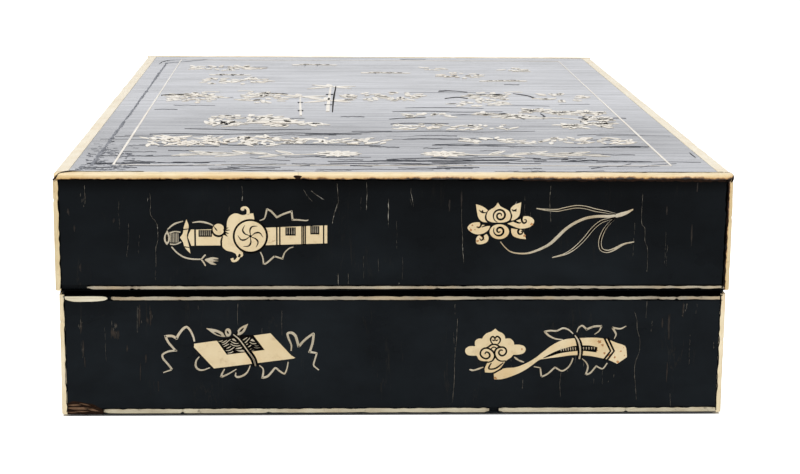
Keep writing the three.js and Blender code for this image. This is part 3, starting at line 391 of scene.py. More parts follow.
# Torn softwood is streaked along its grain, and a darker copy of it is dirt and painted shade in the torn
# hollow; old glue is a dark, slightly glossy brown.
BARE_WOOD = fibrous("pine_softwood_aged", ("#46301f", "#98785e"), (5, 0.6, 0.3), 0.8, 0.3)
DIRTY_SHADED_WOOD = fibrous("pine_softwood_dirty_and_shaded", ("#170e09", "#46301f"), (5, 0.6, 0.3), 0.85, 0.2)
OLD_GLUE = fibrous("hide_glue_dark", ("#0c0603", "#2c180a"), (1.2, 1.2, 1.2), 0.6, 0.05)
PAPER = fibrous("mulberry_paper_lining", ("#bda67a", "#dccba3"), (9, 3, 5), 0.9, 0.1)
print("matt finishes", BLACK_PASTE.name, BARE_WOOD.name, PAPER.name)

# %% [markdown]
# All new pieces are surfaces on grids of numbers. A piece is a row of closed rings joined into a
# skin with a cap at each end: a strip of bone is a ring carried along a line, and an inlaid plate
# is its own outline carried up through its thickness, with a small eased edge at the top.

# %% Surfaces
def skin(rings):
    """Joins rings[i, j] to rings[i + 1, j] with quads, and closes each end with one flat face."""
    count, around = rings.shape[:2]
    i, j = np.meshgrid(np.arange(count - 1), np.arange(around), indexing="ij")
    near, far = i * around + j, i * around + (j + 1) % around
    quads = np.stack([near, near + around, far + around, far], axis=-1).reshape(-1, 4)
    last = np.arange((count - 1) * around, count * around)[::-1]
    return rings.reshape(-1, 3), [*quads.tolist(), list(range(around)), last.tolist()]


def curve(points, flats=6, closed=False):
    """A Catmull-Rom curve through points of any dimension. A point written twice is a corner.

    Between b and c it is a cubic in t whose slope at each end is half the chord of the two
    neighbours, so it passes through every point without a kink.
    """
    p = np.asarray(points, float)
    ends = (p[-1:], p[:2]) if closed else (2 * p[:1] - p[1:2], 2 * p[-1:] - p[-2:-1])
    padded = np.vstack([ends[0], p, ends[1]])
    a, b, c, d = (padded[k:len(padded) - 3 + k, None, :] for k in range(4))
    t = (np.arange(flats) / flats)[None, :, None]
    bend = (c - a) * t + (2 * a - 5 * b + 4 * c - d) * t**2 + (3 * b - a - 3 * c + d) * t**3
    real = np.linalg.norm(c - b, axis=2)[:, 0] > 1e-6
    path = (b + bend / 2)[real].reshape(-1, p.shape[1])
    return path if closed else np.vstack([path, p[-1]])


def with_height(flat, height):
    """Adds a third coordinate to points (u, v)."""
    return np.concatenate([flat, np.full((*flat.shape[:-1], 1), height)], axis=-1)


print("a curve through 3 points has", len(curve(np.eye(3))), "points")

# %% [markdown]
# Nearly every inlay is one of two pieces. A strip is a low mound carried along a curve, as wide
# as the graver went. A plate is an outline carried up to its top, a little smaller there, as if
# its edge had been scraped.

# %% Strips and plates
SUNK = 0.45  # how deep every inlay reaches into the lacquer, in millimetres
EASE = 0.07  # the eased edge of bone


def stroke(points, widths, top, flats=6):
    """A strip along a curve: its section is a low mound, as wide as widths say along the way."""
    path = curve(points, flats)
    heading = np.gradient(path, axis=0)
    left = np.stack([-heading[:, 1], heading[:, 0]], axis=1)
    left /= np.linalg.norm(left, axis=1, keepdims=True) + 1e-9
    share = np.linspace(0, 1, len(path))
    half = np.interp(share, np.linspace(0, 1, len(widths)), widths)[:, None] / 2
    section = ((-1, -SUNK), (-1, top - EASE), (-0.72, top), (0.72, top), (1, top - EASE), (1, -SUNK))
    return skin(np.stack([with_height(path + left * half * s, w) for s, w in section], axis=1))


def plate(outline, top, smooth=True, flats=4):
    """A flat plate of that outline up to top, moved inward all round its upper edge by the ease."""
    ring = curve(outline, flats, closed=True) if smooth else np.asarray(outline, float)
    after = np.roll(ring, -1, axis=0)
    if np.sum(ring[:, 0] * after[:, 1] - after[:, 0] * ring[:, 1]) > 0:
        ring = ring[::-1]
    edge = np.roll(ring, -1, axis=0) - np.roll(ring, 1, axis=0)
    inward = np.stack([edge[:, 1], -edge[:, 0]], axis=1)
    inward /= np.linalg.norm(inward, axis=1, keepdims=True) + 1e-9
    levels = ((0, -SUNK), (0, top - EASE), (EASE, top))
    return skin(np.stack([with_height(ring + inward * by, w) for by, w in levels]))


print("pieces reach", SUNK, "mm into the lacquer")

# %% [markdown]
# Outlines come from a few plain figures, and from paths measured on the box. A measured path is
# a text of points, which is short and easy to correct by hand.

# %% Outlines
def turned(points, angle):
    """Turns points (u, v) about the origin, anticlockwise: (u cos - v sin, u sin + v cos)."""
    c, s = math.cos(angle), math.sin(angle)
    return np.asarray(points, float) @ np.array([[c, s], [-s, c]])


def arc(centre, radius, start, end, count=16, squash=1.0):
    """Points round a centre from angle start to angle end, in degrees, flattened by squash."""
    angle = np.radians(np.linspace(start, end, count))
    return np.array(centre) + radius * np.stack([np.cos(angle), squash * np.sin(angle)], axis=1)


def circle(centre, radius, count=40, squash=1.0):
    """A full turn of that many points."""
    return arc(centre, radius, 0, 360 - 360 / count, count, squash)


def spiral(centre, radius, turns, start, mirror=1):
    """Points of a spiral from angle start, in degrees, that winds in evenly to 15% of its radius."""
    share = np.linspace(0, 1, int(14 * turns))
    angle = np.radians(start) + mirror * share * turns * 2 * np.pi
    reach = radius * (1 - 0.85 * share)
    return np.array(centre) + np.stack([reach * np.cos(angle), reach * np.sin(angle)], axis=1)


def leaf(root, tip, width, flats=7, fullness=0.5):
    """An outline from root to tip: two half sine waves, widest at the share fullness of the way."""
    root, tip = np.array(root, float), np.array(tip, float)
    share = np.linspace(0, 1, flats + 1)
    swell = np.sin(np.pi * share ** (math.log(0.5) / math.log(fullness)))
    across = np.array([root[1] - tip[1], tip[0] - root[0]])
    across *= width / 2 / np.linalg.norm(across)
    one = root + (tip - root) * share[:, None] + across * swell[:, None]
    other = root + (tip - root) * share[:, None] - across * swell[:, None]
    return np.vstack([one, other[-2:0:-1]])


def paths(text):
    """The paths in a text: points u,v in mm, with a semicolon between one path and the next."""
    rows = [path.replace(",", " ").split() for path in text.split(";")]
    return [np.array(row, float).reshape(-1, 2) for row in rows]


print("a leaf has", len(leaf((0, 0), (10, 0), 3)), "points")

# %% [markdown]
# Each outer face has its own flat frame: u runs to the right as one looks at it, v runs up it
# (to the back, on the top) and w comes out of it. Its origin is the middle of the box, and its
# depth is the lacquered board's own face, so whatever is drawn on it lies on the board.

# %% Faces of the box
class Face:
    """An outer face: unit vectors along u, up v and out of it, and how far out its board lies."""

    def __init__(self, board, along, up):
        """out is the cross product of along and up; depth is where the board ends that way."""
        self.along, self.up = np.array(along, float), np.array(up, float)
        self.out = np.cross(self.along, self.up)
        low, high = (np.array(corner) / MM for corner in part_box(board))
        self.depth = float(np.where(self.out > 0, high, -low) @ np.abs(self.out))
        self.body = board.split("_")[0]

    def place(self, points):
        """Points (u, v, w) of this face in the box's frame: u along + v up + (w + depth) out."""
        basis = np.stack([self.along, self.up, self.out])
        return points @ basis + self.out * self.depth


WALLS = {"front": (1, 0, 0), "right": (0, 1, 0), "back": (-1, 0, 0), "left": (0, -1, 0)}
FACES = {
    f"{body}_{side}": Face(f"{body}_{side}_board", along, (0, 0, 1))
    for body in ("lid", "base") for side, along in WALLS.items()
}
FACES["lid_top"] = Face("lid_top_board", (1, 0, 0), (0, 1, 0))
print("faces", {name: round(face.depth, 2) for name, face in FACES.items()})

# %% [markdown]
# Every new piece is told the body it rides on, so that it rises with the lid, the stuff it is,
# and the plain solid that it replaces, if any. Marks in the lacquer, such as dirt, replace
# nothing and lie on the face that their name begins with.

# %% Pieces
made_pieces = []
SHARP_TURN = 35  # degrees; a smaller turn between two faces is shaded smooth


def finish_piece(name, points_mm, faces, surface, body, slot, replaces=()):
    """Makes the object from points in millimetres, and says what it rides on and stands for."""
    mesh = bpy.data.meshes.new(name)
    mesh.from_pydata(points_mm * MM, [], faces)
    mesh.polygons.foreach_set("use_smooth", np.ones(len(mesh.polygons), bool))
    mesh.set_sharp_from_angle(angle=math.radians(SHARP_TURN))
    mesh.materials.append(surface)
    mesh.update()
    piece = bpy.data.objects.new(name, mesh)
    bpy.context.scene.collection.objects.link(piece)
    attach(piece, body)
    if replaces:
        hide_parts(*replaces)
    made_pieces.append(piece)


def merged(shapes):
    """Puts several (points, faces) together as one: each one's faces count on from the last."""
    starts = np.cumsum([0] + [len(points) for points, _ in shapes])
    faces = [[i + int(start) for i in face]
             for (_, made), start in zip(shapes, starts) for face in made]
    return np.vstack([points for points, _ in shapes]), faces


def inlay(name, shapes, face, surface, shift=(0, 0), slot="bone", replaces=()):
    """Lays shapes drawn in a face's own frame onto that face."""
    points, faces = merged(shapes)
    points = face.place(points + np.array([*shift, 0]))
    finish_piece(name, points, faces, surface, face.body, slot, replaces)


def mark(name, shapes, surface):
    """Lays marks of the lacquer on the face that their name begins with."""
    face = FACES["_".join(name.split("_")[:2])]
    inlay(name, shapes, face, surface, slot="lacquer")


print("edges that turn more than", SHARP_TURN, "degrees stay sharp")

# %% [markdown]
# The lacquer is not flat: brushed coats ripple along the boards. So each board gets a coat of
# its own, whose heights are smooth noise: a lattice of seeded random heights, blended between
# its points.

# %% Smooth noise
LATTICE = 97


def smooth_noise(u, v, size_u, size_v, seed):
    """Random heights from -1 to 1 on a lattice, blended between its points.

    The blend is s s (3 - 2 s), which is level where it meets each point of the lattice.
    """
    heights = np.random.default_rng(seed).uniform(-1, 1, (LATTICE, LATTICE))
    column, row = u / size_u, v / size_v
    i, j = np.floor(column).astype(int), np.floor(row).astype(int)
    s, t = column - i, row - j
    s, t = s * s * (3 - 2 * s), t * t * (3 - 2 * t)
    i, next_i = i % LATTICE, (i + 1) % LATTICE
    j, next_j = j % LATTICE, (j + 1) % LATTICE
    low = heights[i, j] * (1 - s) + heights[next_i, j] * s
    high = heights[i, next_j] * (1 - s) + heights[next_i, next_j] * s
    return low * (1 - t) + high * t


print("noise at 3 places", smooth_noise(np.arange(3.0), np.zeros(3), 2, 2, 1).round(2))

# %% [markdown]
# A coat is a tenth of a millimetre thick. Its ripples stand upright on the walls, as the brush
# went, and run across the top. At its border, just short of the bone, the sheet turns down into
# the board, and it closes below.

# %% Lacquer coats
COAT = 0.06  # mean height of a coat over its board, in millimetres
THINNEST, THICKEST = 0.015, 0.16
TURNED_IN = 0.04  # how far the rim slopes


def coat(name, face, low, high, spacing, ripple, sizes, surface, seed):
    """A rippled sheet from low to high on a face, turned in round its border and closed below.

    Its height is the mean height and two noises, the second of half the size and half as high.
    """
    counts = [int((b - a) / spacing) + 4 for a, b in zip(low, high)]
    lines = [np.r_[a, np.linspace(a + TURNED_IN, b - TURNED_IN, n - 2), b]
             for a, b, n in zip(low, high, counts)]
    u, v = np.meshgrid(*lines, indexing="ij")
    height = COAT + sum(ripple / 2**k * smooth_noise(u, v, sizes[0] / 2**k, sizes[1] / 2**k, seed + k)
                        for k in range(2))
    inside = np.minimum.reduce([u - low[0], high[0] - u, v - low[1], high[1] - v])
    height = np.where(inside < 1e-6, -SUNK, np.clip(height, THINNEST, THICKEST))
    points = np.stack([u, v, height], axis=-1).reshape(-1, 3)
    i, j = np.meshgrid(np.arange(counts[0] - 1), np.arange(counts[1] - 1), indexing="ij")
    corner = i * counts[1] + j
    quads = np.stack([corner, corner + counts[1], corner + counts[1] + 1, corner + 1], axis=-1)
    number = np.arange(counts[0] * counts[1]).reshape(counts)
    rim = [*number[0, :-1], *number[:-1, -1], *number[-1, :0:-1], *number[:0:-1, 0]]
    faces = [*quads.reshape(-1, 4).tolist(), [int(k) for k in rim]]
    finish_piece(name, face.place(points), faces, surface, face.body, "lacquer")


INNER = 0.12  # the coat stops this far short of the bone
edge_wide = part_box("lid_left_top_edge")[1].x / MM + INNER
edge_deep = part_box("lid_front_top_edge")[1].y / MM + INNER
coat("lid_top_coat", FACES["lid_top"], (edge_wide, edge_deep), (-edge_wide, -edge_deep), 1.7,
     0.07, (70, 9), TOP_LACQUER, 11)


def wall_span(body, side):
    """The lowest and highest (u, v) of a wall's lacquer between its bone strips."""
    face = FACES[f"{body}_{side}"]
    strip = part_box(f"{body}_front_left_corner")
    inside = strip[1].x / MM if side in ("front", "back") else strip[1].y / MM
    first, last = (f"base_{side}_lower_line", f"base_{side}_upper_line")
    if body == "lid":
        first, last = f"lid_{side}_line", f"lid_{side}_top_edge"
    return face, inside + INNER, (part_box(first)[1].z / MM + INNER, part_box(last)[0].z / MM - INNER)


for index, (body, side) in enumerate((body, side) for body in ("lid", "base") for side in WALLS):
    face, end, (foot, head) = wall_span(body, side)
    coat(f"{body}_{side}_coat", face, (end, foot), (-end, head), 2.0, 0.03, (16, 60),
         WALL_LACQUER, 31 + 5 * index)
print("coats", len(made_pieces), "largest", max(len(p.data.polygons) for p in made_pieces))

# %% [markdown]
# Every arris of the box is capped with a strip of bone, rounded on its outer side, and fine lines
# of bone run beside the openings. They are swept like a moulding: a rounded rectangle is carried
# along the solid's own box. Hand-scraped strips are never quite even, so the section swells and
# shrinks a little on its way, and chips are places where it shrinks more.

# %% Bone strips
ARRIS = 1.7  # radius of the rounded outer corner
SHARP = 0.2  # radius of the other corners
ALONG = (BONE_X, BONE_Y, BONE_Z)
OUTSIDE = 140  # a strip whose middle lies further out than this is rounded on that side


def rounded_section(low, high, radii, flats=4):
    """A rectangle drawn clockwise: each corner is a quarter circle about a centre set in by its
    radius."""
    low, high, radii = np.array(low), np.array(high), np.array(radii)
    signs = np.array([(-1, -1), (1, -1), (1, 1), (-1, 1)])
    centres = np.where(signs < 0, low + radii[:, None], high - radii[:, None])
    angle = np.radians(180 + 90 * np.arange(4)[:, None] + np.linspace(0, 90, flats + 1))
    turn = np.stack([np.cos(angle), np.sin(angle)], axis=-1)
    arcs = centres[:, None] + radii[:, None, None] * turn
    return arcs.reshape(-1, 2)[::-1]


def bar(name, node, seed, span=(None, None), bites=(), plan_round=0.0, sway=0.03, surface=None,
        tall=None):
    """A strip swept along a node's box, or from tall[0] to tall[1] in height if that is given.

    Its section is scaled about its inner corner by 1 plus smooth noise, and a bite (place, reach,
    depth) shrinks it there. plan_round is the radius that its ends are rounded to, seen from above.
    """
    low, high = (np.array(corner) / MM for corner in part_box(node))
    low[2], high[2] = tall or (low[2], high[2])
    axis = int(np.argmax(high - low))
    across = [(axis + 1) % 3, (axis + 2) % 3]
    middle = (low + high) / 2
    outer = np.where(np.abs(middle) > OUTSIDE, np.sign(middle), 0)
    outer[2] = 1 if "top_edge" in node else 0
    b_out, c_out = outer[across]
    signs = ((-1, -1), (1, -1), (1, 1), (-1, 1))
    radii = [ARRIS if (b_out, c_out) == sign else SHARP for sign in signs]
    first = low[axis] if span[0] is None else span[0]
    last = high[axis] if span[1] is None else span[1]
    s = np.linspace(first, last, max(12, int((last - first) / 1.1)))
    ring = rounded_section(low[across], high[across], radii)
    anchor = middle[across] - outer[across] * (high - low)[across] / 2
    long_wave, short_wave = smooth_noise(s, s * 0, 23, 9, seed), smooth_noise(s, s * 0, 5, 9, seed + 1)
    size = 1 + sway * long_wave + sway / 2 * short_wave
    size = np.minimum(size, 1.01)
    for place, reach, depth in bites:
        size = size - depth * np.clip(1 - np.abs(s - place) / reach, 0, 1) ** 0.7
    section = anchor + (ring - anchor) * size[:, None, None]
    if plan_round:
        near = np.clip(plan_round - np.minimum(s - low[axis], high[axis] - s), 0, plan_round)
        inset = plan_round - np.sqrt(plan_round**2 - near**2)
        wide = (high - low)[across[0]]
        section[..., 0] = anchor[0] + (section[..., 0] - anchor[0]) * (1 - inset / wide)[:, None]
    points = np.empty((len(s), len(ring), 3))
    points[..., axis] = s[:, None]
    points[..., across[0]], points[..., across[1]] = section[..., 0], section[..., 1]
    body = node.split("_")[0]
    finish_piece(name, *skin(points), surface or ALONG[axis], body, "bone", (node,))


print("arris radius", ARRIS, "mm")

# %% [markdown]
# The front arris is two strips that meet left of the middle, and it is scorched. The upright
# strips are chipped here and there, and those of the base are paler, because hands hold a box
# by its lid.

# %% Arrises and corners
bar("front_arris_left", "lid_front_top_edge", 3, (-159.3, -45.6), plan_round=2.6,
    bites=((-110, 1.2, 0.05), (-75, 0.6, 0.04)), surface=BONE_STAINED)
bar("front_arris_right", "lid_front_top_edge", 8, (-45.5, 159.6), plan_round=2.6,
    bites=((37, 1.0, 0.05), (118, 1.4, 0.06), (148, 0.8, 0.05)), surface=BONE_STAINED)
bar("back_arris", "lid_back_top_edge", 12, plan_round=ARRIS, bites=((60, 2, 0.08),))
bar("left_arris", "lid_left_top_edge", 16, (-243.2, 243.2), bites=((40, 1.5, 0.05),))
bar("right_arris", "lid_right_top_edge", 21, (-243.2, 243.2), bites=((-90, 1.4, 0.06),))
for index, node in enumerate(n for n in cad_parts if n.endswith("_corner")):
    chips = [(23 + 71 * index % 40 + 55 * (node[0] == "l"), 0.9, 0.07)]
    if node == "lid_front_left_corner":
        chips = [(103.6, 0.8, 0.12), (114.1, 1.0, 0.2)]
    if node == "lid_front_right_corner":
        chips = [(114.1, 1.2, 0.1), (96, 1.2, 0.08)]
    finish = BONE_STAINED_RIGHT if node == "lid_front_right_corner" else BONE_Z
    finish = BONE_BASE_Z if node.startswith("base") else finish
    bar(node + "_strip", node, 40 + index, bites=chips, surface=finish, sway=0.06)
print("strips", len(made_pieces))

# %% [markdown]
# The fine lines have their own history. The lowest front line broke off at the left, where brown
# wood shows, and has a gap right of the middle. The line above it was mended with a wider piece.
# A line keeps its own place, so a gap is made by ending one strip and starting the next.

# %% Fine lines
TALL = {"lid": (61.6, 63.1), "upper": (56.0, 57.8), "lower": (0.3, 2.5)}


def fine_line(name, node, seed, span=(None, None), bites=(), sway=0.18):
    """A greyed strip in a line's place, as tall as its kind."""
    kind = next(kind for kind in ("upper", "lower", "lid") if kind in node)
    # painted shade: lines beside the seam take the darker bone
    finish = BONE_FOOT if kind == "lower" else BONE_LINE_SHADED
    bar(name, node, seed, span, bites, sway=sway, surface=finish, tall=TALL[kind])


fine_line("lid_front_line_strip", "lid_front_line", 60, (-145.2, None),
          ((-145.2, 2.4, 0.6), (-124, 1.2, 0.5), (-121, 0.8, 0.3), (20, 0.8, 0.3), (96, 0.9, 0.2)))
fine_line("base_front_upper_strip", "base_front_upper_line", 64, (-134.2, None),
          ((-134.2, 1.0, 0.5), (-60, 0.7, 0.2), (126.5, 0.7, 0.5), (135, 0.7, 0.5), (40, 0.7, 0.2)))
fine_line("base_front_lower_left_strip", "base_front_lower_line", 67, (-138.9, 46.0),
          ((-138.9, 2, 0.3), (-101, 0.8, 0.6), (-60, 0.9, 0.3), (46, 2, 0.4)))
fine_line("base_front_lower_right_strip", "base_front_lower_line", 71, (50.7, None),
          ((50.7, 2, 0.4), (112, 0.8, 0.5)))
others = [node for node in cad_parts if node.endswith("_line") and "_front_" not in node]
for index, node in enumerate(others):
    bite = (37 * index % 180 - 90, 0.9, 0.4)
    fine_line(node + "_strip", node, 80 + 3 * index, bites=(bite,), sway=0.12)

print("fine lines", 4 + len(others))

# %% [markdown]
# The mend is a plate with rounded ends. Where the foot line broke away the lacquer is gone too:
# a flat plate of dark glue colour stands for the hollow and paints its shade, splinters of
# softwood lie over it, and darker fibres, dirty and shaded, lie between them, scattered with a seed.

# %% Mend and torn corner
MEND_TOP = 0.24
mend = plate(*paths("""-157,57.9 -157,57.9 -150,57.95 -141,57.95 -137.2,57.7 -135.8,56.9 -137.2,56
    -141,55.5 -147,55.3 -151.8,55.4 -155,56.2 -157,57.2 -157,57.2"""), MEND_TOP)
inlay("base_front_mended_line", [mend], FACES["base_front"], BONE_MEND)


def scatter(rng, count, *ranges):
    """Rows of random numbers, with one from each (low, high), drawn range by range."""
    return zip(*(rng.uniform(low, high, count) for low, high in ranges))


def slivers(count, low, high, reach, seed, top):
    """Splinters of seeded place and length between two heights, each a thin leaf on its side."""
    rng = np.random.default_rng(seed)
    made = []
    for start, height, length in scatter(rng, count, (-157, -143), (low, high), (3, 9)):
        end = min(start + length, reach - 2.2 * height)
        if end > start + 1:
            tip = (end, height + rng.uniform(-0.5, 0.2))
            made.append(plate(leaf((start, height), tip, 0.42), top))
    return made


hollow = plate(*paths("""-157.2,0.1 -157.2,0.1 -157.3,6.6 -157.3,6.6 -155.8,5.6 -153.6,6.4 -150.4,6.2
    -147,5.4 -144,5 -141.6,3.6 -139.6,2.4 -139,1 -139.6,0.1 -148,0.1"""), 0.1)
# painted shade: a flat plate of dark glue colour stands for the shade in the hollow
mark("base_front_torn_hollow", [hollow], OLD_GLUE)
mark("base_front_torn_fibres", slivers(26, 0.5, 5.2, -134, 5, 0.18), DIRTY_SHADED_WOOD)
splinters = [plate(leaf(root, tip, wide, 7, full), 0.24) for root, tip, wide, full in (
    ((-156.2, 3.1), (-143.4, 2.6), 1.3, 0.4), ((-148.6, 3.2), (-140.6, 1.3), 0.9, 0.5),
    ((-156.4, 4.5), (-149.4, 4.6), 0.7, 0.5), ((-153.8, 1.5), (-145.6, 1.3), 0.6, 0.5),
    ((-150.4, 5.4), (-144.8, 4.2), 0.5, 0.5), ((-156.6, 1.0), (-151.2, 0.7), 0.5, 0.5))]
mark("base_front_torn_wood", splinters, BARE_WOOD)
print("pieces so far", len(made_pieces))

# %% [markdown]
# An emblem is built in layers, as its maker worked: flat plates of thick bone, ribbons of thinner
# and greyer bone, strokes cut into the plates and filled with black, and light pieces laid over a
# black ground. A drawing is a set of such layers, in millimetres on the wall.

# %% Layers of an emblem
# Each layer has its finish, and its height over the board in millimetres.
LAYERS = {
    "plate": (BONE_PLATE, 0.25),
    "ribbon": (BONE_THIN, 0.21),
    "ink": (BLACK_PASTE, 0.29),
    "stain": (BONE_BROWNED, 0.27),
    "light": (BONE_PLATE, 0.33),
    "fine": (BONE_THIN, 0.33),
    "mark": (BLACK_PASTE, 0.37),
}
INK_SPREAD = 1.55  # filled strokes have bled wider than they were cut
RIBBON_WORN = 0.88  # ribbons have worn a little thinner
SPREAD = {"ink": INK_SPREAD, "mark": INK_SPREAD, "ribbon": RIBBON_WORN}


def read(shapes):
    """The shapes, with the paths of each text in its place."""
    return [path for shape in shapes
            for path in (paths(shape) if isinstance(shape, str) else [shape])]


class Drawing:
    """Shapes sorted by layer. Each method adds shapes; every top comes from the layer."""

    def __init__(self):
        """Starts with every layer empty."""
        self.layers = {layer: [] for layer in LAYERS}

    def fill(self, layer, *outlines, smooth=True):
        """Plates with those outlines."""
        top = LAYERS[layer][1]
        self.layers[layer] += [plate(outline, top, smooth) for outline in read(outlines)]

    def line(self, layer, widths, *courses, flats=6):
        """Strips along those courses, as wide as widths say from start to end."""
        top = LAYERS[layer][1]
        widths = np.array(widths) * SPREAD.get(layer, 1)
        self.layers[layer] += [stroke(course, widths, top, flats) for course in read(courses)]

    def lay(self, name, face, shift=(0, 0), replaces=(), worn=False):
        """Lays every layer on a face. The first one stands for the plain solids."""
        for layer, shapes in self.layers.items():
            if shapes:
                rubbed = worn and layer not in ("ink", "mark")
                finish = BONE_WORN if rubbed else LAYERS[layer][0]
                inlay(f"{name}_{layer}", shapes, face, finish, shift, replaces=replaces)
                replaces = ()


def blobs(places, radius, seed):
    """Outlines round the points of a text, whose radius strays at every tenth of a turn."""
    rng = np.random.default_rng(seed)
    angle = np.linspace(0, 2 * np.pi, 10, endpoint=False)
    turn = np.stack([np.cos(angle), np.sin(angle)], axis=1)
    return [place + radius * rng.uniform(0.4, 1.3) * rng.uniform(0.5, 1.4, (10, 1)) * turn
            for place in paths(places)[0]]


def oblong(left, low, right, high):
    """The four corners of an upright rectangle."""
    return [(left, low), (right, low), (right, high), (left, high)]


def upright(left, right, count, low, high):
    """Evenly spaced vertical lines from left to right."""
    return [((u, low), (u, high)) for u in np.linspace(left, right, count)]


print("layers", list(LAYERS))

# %% [markdown]
# The first emblem is a flute in a sheath, tied with cords. The places of its points were read
# off the photograph in millimetres.

# %% Flute emblem
def flute_emblem():
    """The sheath is one bar of bone. A cloud lies on it, and on that the black ring of the boss."""
    art = Drawing()
    sheath = "-93.9,82.7 -60.8,82.9 -32.3,83.8 -32.3,92.4 -60.8,91.3 -93.9,90.3"
    collar = "-94.7,82.6 -94.7,90.4 -96.2,90.4 -97.3,88.2 -97.7,86.7 -96.1,82.6"
    art.fill("plate", sheath, collar, smooth=False)
    art.fill("plate", """-98.3,95.3 -98.3,95.3 -97.3,92.6 -97.4,90.6 -98.1,87.8 -97.9,85.4 -97.2,82.4
        -96.6,78.8 -96.6,78.8 -99.2,81.8 -100,84.3 -101.4,86.6 -101.4,86.6 -100,88.6 -99.6,91.4""")
    art.fill("light", """-67,98.2 -67,98.2 -66.6,95.8 -67,93 -73.4,82 -72,79.4 -72.3,77.4 -74.6,77.2
        -75.4,78.8 -77.3,79.7 -79.8,80.4 -81.5,82.1 -81.6,84.2 -81,86.9 -80.2,89.5 -79.5,91.6 -79.3,94
        -78.4,96.3 -76.6,97.8 -74.6,98.1 -72,97.3 -69.4,97.9""")
    art.line("light", (1.5, 1.3, 1.0, 1.5), """-69.4,97.6 -69.4,99.7 -70.5,100.9 -72,100.7 -72.2,99.9;
        -73.3,78.6 -74.2,76.7 -75.3,75.5 -76.7,75.3 -77.2,76.6""")
    art.fill("mark", circle((-68.4, 87.2), 8.3))
    art.fill("ink", circle((-83.3, 90.1), 3.4, 24))
    art.fill("light", circle((-83.3, 90.5), 2.75, 24))
    art.line("mark", (0.1, 0.5, 0.1), "-85.6,92.1 -84.6,90.7 -83.8,89.6")
    art.fill("ribbon", leaf((-107.6, 83), (-107.3, 90.1), 2.9, 12, 0.44), circle((-72.0, 100.2), 0.9, 16))
    art.fill("ink", circle((-107.5, 86.3), 0.6, 20, squash=3.2))
    art.line("ribbon", (0.34, 0.34), *upright(-105.8, -102.3, 6, 84.2, 88.6), flats=1)
    art.line("ribbon", (0.8, 0.6, 0.7), """-106.3,88.7 -103.8,89.4 -101.1,89.1; -106.1,83.4 -103.4,83.3
        -100.9,84.4""")
    art.line("ribbon", (0.5, 1.0, 0.5), """-107.2,90.4 -104,93 -99.8,94.4; -95.5,93.7 -91.8,94.1
        -87.9,93.3 -84.9,91.8""")
    art.line("ribbon", (0.7, 0.8, 0.8, 0.7), """-105.4,82.1 -102.9,79.3 -99.6,77.1 -95.7,76.2 -91.4,76.1;
        -91.6,76 -90.6,77.2 -89.5,78.3; -91.6,76.1 -90.5,74.6 -89.6,72.9""")
    art.fill("ribbon", """-89.9,75.9 -88,76.7 -86.3,77.1 -84.3,76.8 -83.6,76.2 -86.2,75.9 -83.5,75.2
        -86.2,74.9 -84.4,73.5 -86.8,73.6 -88.4,74.6""")
    art.line("ribbon", (0.5, 0.9, 1.0, 1.0, 0.9, 0.5), """-64,94.7 -62,95.5 -61.3,97 -60.6,100 -60.3,100.1
        -58.4,98.9 -56,96.2 -56,96.2 -52.9,97.8 -49.2,99 -49,98.8 -48.6,95.2 -48.4,95.1 -45.7,95
        -42.3,94.7 -41.2,95""")
    art.line("ribbon", (0.6, 0.9, 0.9, 0.8, 0.4), """-63.8,79.6 -62.7,77 -62.3,73.9 -62.1,73.8 -60.7,74.4
        -57.3,77.4 -56.8,77.4 -53.6,76.4 -53.4,76.5 -52.3,79.3 -50.1,81.4 -48.2,82""")
    for left, low, right, high, count in ((-52, 87.5, -47.1, 91.5, 4), (-40.3, 88.1, -36, 92.1, 4),
                                          (-92.7, 86.9, -86.4, 90.2, 6)):
        art.fill("ink", oblong(left, low, right, high), smooth=False)
        threads = upright(left + 0.8, right - 0.8, count, low + 0.7, high - 0.1)
        art.line("fine", (0.34, 0.22), *threads, flats=1)
    art.line("ink", (0.5, 0.5), *(((u, 82.6), (u, 92)) for u in (-56, -54.6)), flats=1)
    art.line("ink", (0.45, 0.45), *(((u, 83), (u, 92.2)) for u in (-44.2, -43.4, -42.6)), flats=1)
    art.line("ink", (0.5, 0.5), "-34,83.4 -34,92.6", flats=1)
    art.line("ink", (0.7, 0.5), "-82,82.6 -82.1,84.8 -81.5,87.2")
    art.line("ink", (0.42, 0.3), "-100.2,90.4 -97.3,90.7; -99.8,82.2 -97.1,81.8", flats=1)
    art.line("mark", (0.9, 0.15), """-80.8,90.8 -78.6,91.3; -81,90.1 -78,90.2; -80.8,89.3 -78.5,88.5;
        -80.6,88.5 -79.1,87.1""", flats=1)
    return art


flute_emblem().lay("flute", FACES["lid_front"], (0.25, 0), ("lid_front_sword",))
print("flute laid, pieces", len(made_pieces))

# %% [markdown]
# The boss covers the middle of the flute, ringed in black, and lies highest of all. It gets a
# whorl of petals, a common ornament for such a boss.

# %% Boss of the flute
RAISED, RAISED_CUT = 0.41, 0.45  # a piece over the marks, and the strokes cut into it


def boss():
    """A disc with a six-petalled whorl: each petal line is an arc turned by a sixth of a turn."""
    art = Drawing()
    centre = np.array([-68.4, 87.2])
    petal = paths("0.6,0.3 2.4,1.6 4.4,1.6 5.9,-0.4")[0]
    art.layers["light"] = [plate(circle(centre, 7.35), RAISED)]
    turns = [centre + turned(petal, math.radians(60 * k)) for k in range(6)]
    art.layers["mark"] = [stroke(path, (0.35, 0.95, 0.25), RAISED_CUT) for path in turns]
    art.layers["mark"].append(plate(circle(centre, 0.7, 16), RAISED_CUT))
    return art


boss().lay("flute_boss", FACES["lid_front"], (0.25, 0))
print("boss laid, pieces", len(made_pieces))

# %% [markdown]
# The lotus has two rolled buds among six curling petals, and a long stem that ends in three
# narrow leaves. The leaves are strips with a dark midline.

